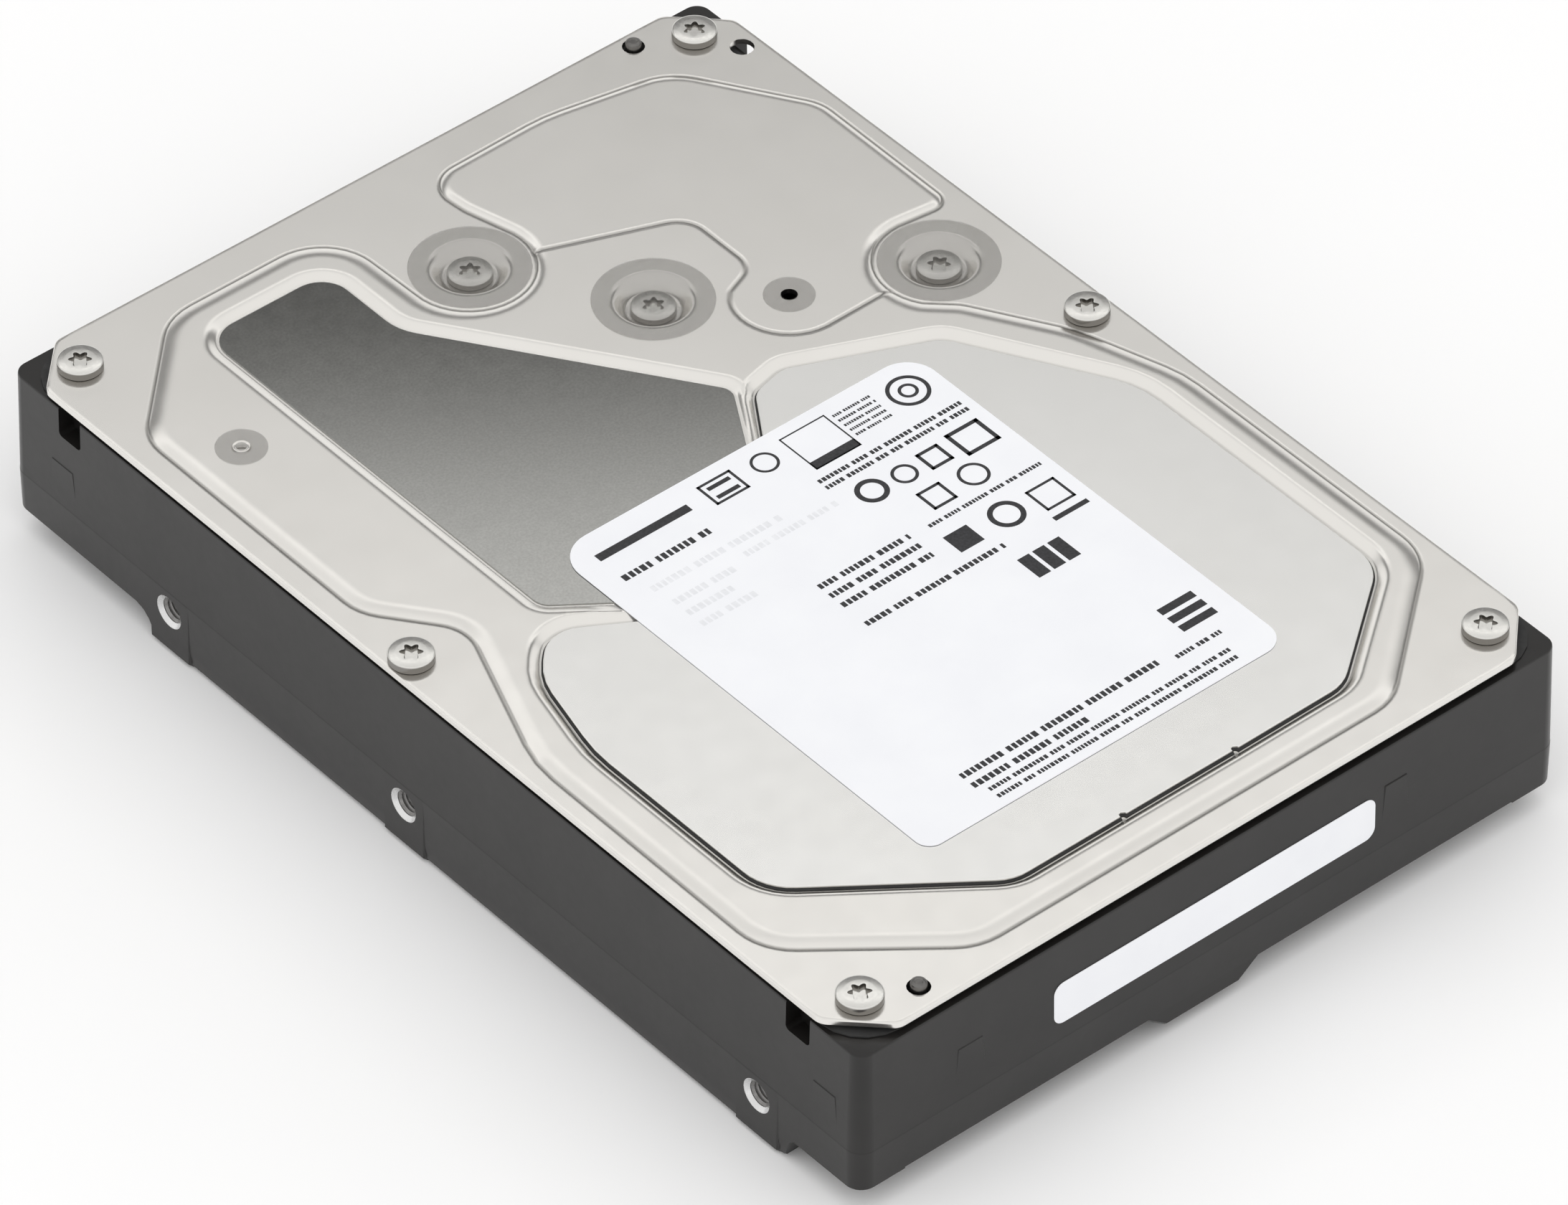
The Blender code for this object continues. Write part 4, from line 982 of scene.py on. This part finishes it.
def wall_block():
    """The casting before its rooms are cut: drafted from the parting line, with lands at the holes."""
    top = CAST_TOP
    draft = DRAFT / PARTING
    heights = [
        (0.0, 0.95, 0.7), (RAIL_EDGE, 0.3, 0.0), (2.5, DRAFT - 2.5 * draft, 0.0),
        (PARTING - 0.25, 0.02, 0.0),
        (PARTING - 0.04, 0.02, 0.02), (PARTING + 0.04, 0.05, 0.05), (top - 0.3, 0.36, 0.36),
        (top - 0.1, 0.39, 0.39), (top - 0.02, 0.44, 0.44), (top, 0.52, 0.52),
    ]
    loops = []
    for z, plain, land in heights:
        loop = []
        for anchor, angle, is_land in wall_stations():
            reach = CORNER_R - (land if is_land else plain)
            loop.append((*polar(anchor, reach, angle), z))
        loops.append(loop)
    return loft(loops)


def head_room_outline():
    return rounded([
        (-30, -20, 0), (30, -20, 0), (37, -4, 2), (41, 6, 2), (46.2, 9, 2), (46.2, 50, 3), (42, 59.5, 3),
        (34, 65.5, 3), (-37, 65.5, 3), (-46.2, 56, 3), (-46.2, 14, 3), (-42, 10, 2), (-37, -2, 2),
    ])


def relief_pads():
    """Shallow pads left by the die on the side and front walls."""
    pads = []
    for side in (-1, 1):
        for i, (low, high, top) in enumerate(((61.5, 66.4, 15.4), (-70.0, -65.3, 15.5))):
            outline = [(low, 9.5), (high, 9.5), (high - 0.5, top), (low + 0.6, top)]
            faces = (side * (HALF_W - 1.0), side * (HALF_W - 0.1))
            pads.append(cutter(f"pad_{side}_{i}", side_slab(outline, faces, 0.08)))
    for i, (low, high, top) in enumerate(((-37.5, -32.6, 16.7), (24.0, 28.6, 18.0))):
        outline = [(low, 9.5), (high, 9.5), (high - 0.7, top), (low + 0.7, top)]
        pads.append(cutter(f"front_pad_{i}", end_slab(outline, (-HALF_L + 1.0, -HALF_L + 0.13), 0.08)))
    return pads


def front_tab():
    """The tongue that hangs below the front wall."""
    outline = [(-10.4, 5.0), (7.5, 5.0), (7.1, 4.2), (3.8, 1.7), (-6.8, 1.7), (-10.0, 4.2)]
    return cutter("front_tab", end_slab(outline, (-HALF_L + 5.2, -HALF_L + 0.12), 0.25))


def rail_end_rooms():
    """What is cut from under both ends, with the rails' curved rear ends and slanted front ends."""
    rear = [(48.3, -1), (48.3, 0.3), (48.5, 1.5), (49.0, 2.6), (49.9, 3.4), (51.2, 3.8), (HALF_L + 1, 3.9),
            (HALF_L + 1, -1)]
    front = [(-60.4, -1), (-60.6, 0.2), (-61.9, 3.1), (-62.6, 3.8), (-HALF_L - 1, 3.9), (-HALF_L - 1, -1)]
    span = (-HALF_W - 1, HALF_W + 1)
    return [cutter("rear_room", side_slab(rear, span)), cutter("front_room", side_slab(front, span))]


def notch_cutters():
    """The small notches in the side walls' upper edges, two on each side."""
    made = []
    above = CAST_TOP + 1
    for side in (-1, 1):
        for i, (low, high) in enumerate(((60.6, 64.5), (-65.0, -61.1))):
            outline = rounded([(low, 19.6, 0.6), (high, 19.6, 0.6), (high, above, 0), (low, above, 0)])
            faces = (side * (HALF_W + 1), side * (HALF_W - 2.4))
            made.append(cutter(f"notch_{side}_{i}", side_slab(outline, faces)))
    return made


def lying_loops(profile, y, side):
    """Loops round the axis of a side hole, one for each (radius, distance in from the side face)."""
    loops = turned_loops(profile, (y, SIDE_HOLE_Z), 32)
    return [[(side * (HALF_W - inward), across, up) for across, up, inward in loop] for loop in loops]


def make_casting():
    block = mesh_of("casting_block", *wall_block())
    room = rectangle((-RAIL_X, RAIL_X), (-HALF_L - 1, HALF_L + 1))
    cuts = [cutter("board_room", slab(room, -1, END_Z))]
    cuts += rail_end_rooms()
    cuts.append(cutter("shroud", slab(circle(SPINDLE, SHROUD_R, 96), FLOOR_Z, CAST_TOP + 1)))
    cuts.append(cutter("head_room", slab(head_room_outline(), FLOOR_Z, CAST_TOP + 1)))
    cuts += notch_cutters()
    cuts.append(cutter("connector_gap", slab(rectangle((-1.6, 43.0), (66.2, HALF_L + 1)), -1, 7.4)))
    for i, middle in enumerate(COVER_SCREWS):
        cuts.append(cutter(f"thread_{i}", slab(circle(middle, 1.5, 24), 16.0, CAST_TOP + 1)))
    for i in range(1, 5):
        cuts.append(cutter(f"board_thread_{i}", slab(circle(centre(f"board_screw_{i}"), 1.5, 20), 2.0, 5.8)))
    for side in (-1, 1):
        for i, y in enumerate(SIDE_HOLES_Y):
            hole = loft(lying_loops([(2.15, -1), (2.15, 5.2)], y, side))
            cuts.append(cutter(f"side_hole_{side}_{i}", hole))
        for i, y in enumerate(BASE_HOLES_Y):
            middle = (side * BASE_HOLE_X, y)
            profile = [(2.1, -1.0), (2.1, 0.0), (1.6, 0.5), (1.6, 4.0)]
            cuts.append(cutter(f"base_hole_{side}_{i}", lathe(profile, middle, 28)))
    shaped = carve(block, cuts, relief_pads())
    boss = cutter("motor_boss", lathe([(14.3, 1.9), (14.5, 2.1), (14.5, END_Z + 1)], SPINDLE, 64))
    shaped = carve(shaped, (), [boss, front_tab()])
    shaped.name = "casting"
    finish_object("casting", shaped, "black_casting", stands_for=("base_casting",), angle=35)


def make_posts():
    """The two dowels that stand up through the cover."""
    profile = [(0.9, CAST_TOP + 0.1), (0.95, CAST_TOP + 0.2), (0.95, RIM + 0.5), (0.88, RIM + 0.68),
               (0.72, RIM + 0.78), (0.5, RIM + 0.8), (0.42, RIM + 0.72)]
    solid = merge([lathe(profile, middle, 32) for middle in POSTS])
    make_piece("dowels", solid, "dowel_steel")


def make_side_threads():
    """Each side hole's bright countersink, and its darker bore with a thread as fine rings."""
    sinks, bores = [], []
    for side in (-1, 1):
        for y in SIDE_HOLES_Y:
            sink = [(2.17, 0.02), (2.08, 0.04), (1.62, 0.5), (1.62, 0.62), (2.17, 0.62)]
            sinks.append(tube(lying_loops(sink, y, side)))
            thread = [(2.17, 0.62), (1.62, 0.62)]
            inward = 0.62
            while inward < 4.4:
                thread += [(1.34, inward + 0.26), (1.62, inward + 0.52)]
                inward += 0.52
            thread.append((2.17, inward))
            bores.append(tube(lying_loops(thread, y, side)))
    make_piece("side_countersinks", merge(sinks), "machined_aluminium", angle=30)
    make_piece("side_threads", merge(bores), "cut_thread", angle=30)


# ---- print on the label

def bar(x, y):
    """One printed bar, as a very thin solid on the label's face."""
    z = levels("main_label")[1]
    return slab(rectangle(x, y), z, z + PRINT_T)


def text_line(x, y, tall, draw):
    """A line of greeked print: plain blocks grouped in words."""
    parts = []
    at = x[0]
    left = draw.randint(3, 9)
    while at < x[1] - tall * 0.3:
        end = min(at + tall * draw.uniform(0.38, 0.6), x[1])
        parts.append(bar((at, end), (y - tall * 0.4, y + tall * 0.4)))
        at = end + tall * 0.2
        left -= 1
        if left == 0:
            left = draw.randint(3, 9)
            at += tall * 0.5
    return parts


def hoop(middle, outer, inner):
    """A printed ring."""
    z = levels("main_label")[1]
    corners = ((outer, z), (outer, z + PRINT_T), (inner, z + PRINT_T), (inner, z))
    return tube(turned_loops(corners, middle, 40))


def frame_box(x, y, stroke):
    """A printed rectangle, outline only."""
    return [
        bar((x[0], x[1]), (y[0], y[0] + stroke)), bar((x[0], x[1]), (y[1] - stroke, y[1])),
        bar((x[0], x[0] + stroke), (y[0], y[1])), bar((x[1] - stroke, x[1]), (y[0], y[1])),
    ]


# Lines of greeked print: x from and to, y of the middle, and height, in millimetres.
TEXT_LINES = (
    (-21.8, -9.4, 0.2, 1.25), (5.0, 26.0, -1.5, 0.8), (5.0, 26.0, -2.8, 0.8), (9.5, 26.0, -15.0, 0.7),
    (-6.3, 6.8, -14.8, 1.05), (-6.3, 6.8, -16.7, 1.05), (-6.3, 6.8, -18.7, 1.05), (-6.3, 13.8, -22.7, 1.0),
    (-14.5, 14.0, -48.0, 1.1), (-14.5, 2.6, -49.9, 1.1), (-13.5, 21.5, -51.5, 0.75),
    (-13.5, 21.5, -52.9, 0.75),
    (16.0, 22.5, -48.7, 0.8), (13.4, 18.8, 5.9, 0.5), (13.4, 18.8, 4.9, 0.5), (13.4, 18.8, 3.9, 0.5),
    (13.4, 18.8, 2.9, 0.5), (13.4, 18.8, 1.9, 0.5),
)
# The washed-out lines beside them, in the same order.
FAINT_LINES = (
    (-20.5, -2.0, -3.2, 1.2), (-20.0, -11.0, -6.4, 1.2), (-20.0, -12.5, -8.7, 1.2),
    (-20.0, -11.5, -11.0, 1.2), (-9.0, 4.5, -5.4, 1.1),
)
# The solid bars, as x and y spans.
PRINT_BARS = (
    ((-21.8, -8.6), (4.0, 5.2)), ((-5.2, -2.0), (3.5, 4.1)), ((-5.2, -2.0), (5.2, 5.8)),
    ((6.2, 12.8), (0.2, 1.6)), ((9.4, 12.8), (-20.6, -17.4)), ((20.8, 25.8), (-23.4, -22.7)),
    ((13.2, 14.9), (-29.3, -25.5)), ((15.4, 17.1), (-29.3, -25.5)), ((17.6, 19.3), (-29.3, -25.5)),
    ((19.4, 24.4), (-46.2, -45.1)), ((19.4, 24.4), (-44.45, -43.35)), ((19.4, 24.4), (-42.7, -41.6)),
)
# The open boxes, as x and y spans and the stroke.
PRINT_BOXES = (
    ((-6.0, -1.2), (2.8, 6.6), 0.35), ((6.2, 12.8), (0.2, 6.8), 0.2), ((16.0, 19.2), (-8.2, -5.0), 0.45),
    ((20.6, 25.4), (-9.0, -4.6), 0.55), ((11.8, 15.2), (-13.4, -10.0), 0.4),
    ((21.2, 25.4), (-21.6, -17.6), 0.35),
)
# The rings, as the middle and two radii.
PRINT_RINGS = (
    ((2.6, 4.9), 1.7, 1.35), ((22.7, 3.8), 2.6, 2.1), ((22.7, 3.8), 1.2, 0.8), ((8.6, -6.4), 2.0, 1.35),
    ((13.2, -6.6), 1.6, 1.2), ((19.0, -11.6), 1.9, 1.5), ((17.4, -19.0), 2.2, 1.55),
)


def make_print():
    """The label's print, in plain bars, boxes, rings and greeked lines."""
    draw = random.Random(7)
    parts = []
    for low, high, y, tall in TEXT_LINES:
        parts += text_line((low, high), y, tall, draw)
    parts += [bar(x, y) for x, y in PRINT_BARS]
    for x, y, stroke in PRINT_BOXES:
        parts += frame_box(x, y, stroke)
    parts += [hoop(*ring) for ring in PRINT_RINGS]
    make_piece("label_print", merge(parts), "ink")
    faint = []
    for low, high, y, tall in FAINT_LINES:
        faint += text_line((low, high), y, tall, draw)
    make_piece("faint_print", merge(faint), "faint_ink")


CONTACT_PITCH = 1.27
TONGUE_TOP = 4.4
# Chips under the board, as middle and size, and rows of small parts, as the first's place and the count.
CHIPS = ((8, 12, 9, 12), (24, 30, 7, 7), (-30, 44, 8, 6), (14, 52, 6, 9), (-28, 14, 5, 5))
SMALL_ROWS = ((-14, 10, 9), (-25, 30, 4), (2, 34, 7), (16, 40, 10), (-34, 58, 9), (30, 16, 6), (-10, 52, 9))
SMALL_PITCH = 1.5


def make_contacts():
    """The connector's gold blades, lying on its two tongues."""
    blades = []
    for first, count in ((2.8, 7), (19.2, 15)):
        for i in range(count):
            middle = first + CONTACT_PITCH * i
            outline = rounded([(middle - 0.4, 68.2, 0.1), (middle + 0.4, 68.2, 0.1),
                               (middle + 0.4, 72.4, 0.2), (middle - 0.4, 72.4, 0.2)])
            blades.append(slab(outline, TONGUE_TOP - 0.05, TONGUE_TOP + 0.06, 0.03))
    make_piece("connector_contacts", merge(blades), "gold_contact")


def soldered(middle, size, height, edge, corner=0.0):
    """A block that hangs under the board."""
    face = levels("circuit_board")[0]
    x = (middle[0] - size[0] / 2, middle[0] + size[0] / 2)
    y = (middle[1] - size[1] / 2, middle[1] + size[1] / 2)
    return slab(rectangle(x, y, corner), face - height, face + 0.01, 0.0, edge)


def make_board_parts():
    """Small parts soldered under the board: chips, and rows of chip resistors and capacitors."""
    chips = [soldered((x, y), (wide, deep), 0.95, 0.1, 0.3) for x, y, wide, deep in CHIPS]
    make_piece("board_chips", merge(chips), "black_plastic")
    small = []
    for x, y, count in SMALL_ROWS:
        small += [soldered((x + SMALL_PITCH * i, y), (0.8, 1.6), 0.55, 0.08) for i in range(count)]
    make_piece("board_passives", merge(small), "ramp_plastic")


# ---- other CAD nodes

# Each paint and the CAD nodes that wear it, by how their names start. The first that fits is taken.
NODE_PAINTS = (
    ("plated_steel", ("disk_clamp", "lower_yoke", "upper_yoke", "head_suspension_")),
    ("polished_disk", ("disk_",)),
    ("machined_aluminium", ("spindle_hub", "spacer_", "pivot_sleeve", "arm_comb", "flex_bracket")),
    ("screw_steel", ("pivot_shaft", "board_screw_")),
    ("black_plastic", ("controller_chip", "sata_connector", "inertial_latch")),
    ("magnet_nickel", ("lower_magnet", "upper_magnet")),
    ("copper_wire", ("motor_stator", "voice_coil")),
    ("gasket_rubber", ("cover_gasket",)),
    ("board_green", ("circuit_board",)),
    ("insulator_foam", ("board_insulator",)),
    ("ramp_plastic", ("load_ramp",)),
    ("flex_film", ("flex_cable",)),
    ("filter_cloth", ("recirculation_filter",)),
)


def paint_nodes():
    """Give each CAD node that is still seen its material."""
    for name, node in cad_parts.items():
        if node.hide_render:
            continue
        worn = next(paint for paint, starts in NODE_PAINTS if name.startswith(starts))
        node.data.materials.clear()
        node.data.materials.append(PAINTS[worn])


PAINTS = {}
COVER_LINE = np.array(cover_outline())
RAISED_LINE = np.array(raised_outline())
CREASE_LINE = crease_path()
# The sunken fields round the damping plate and the dark sheet.
POCKET_LINES = [shrink(damper_outline(), -PLATE_GAP), shrink(sheet_outline(), -SHEET_GAP)]

make_paints()
make_camera()
make_floor()
make_light()
make_cover()
make_screws()
make_seals()
make_dampers()
make_label()
make_print()
make_contacts()
make_board_parts()
make_front_label()
make_casting()
make_side_threads()
make_posts()
paint_nodes()
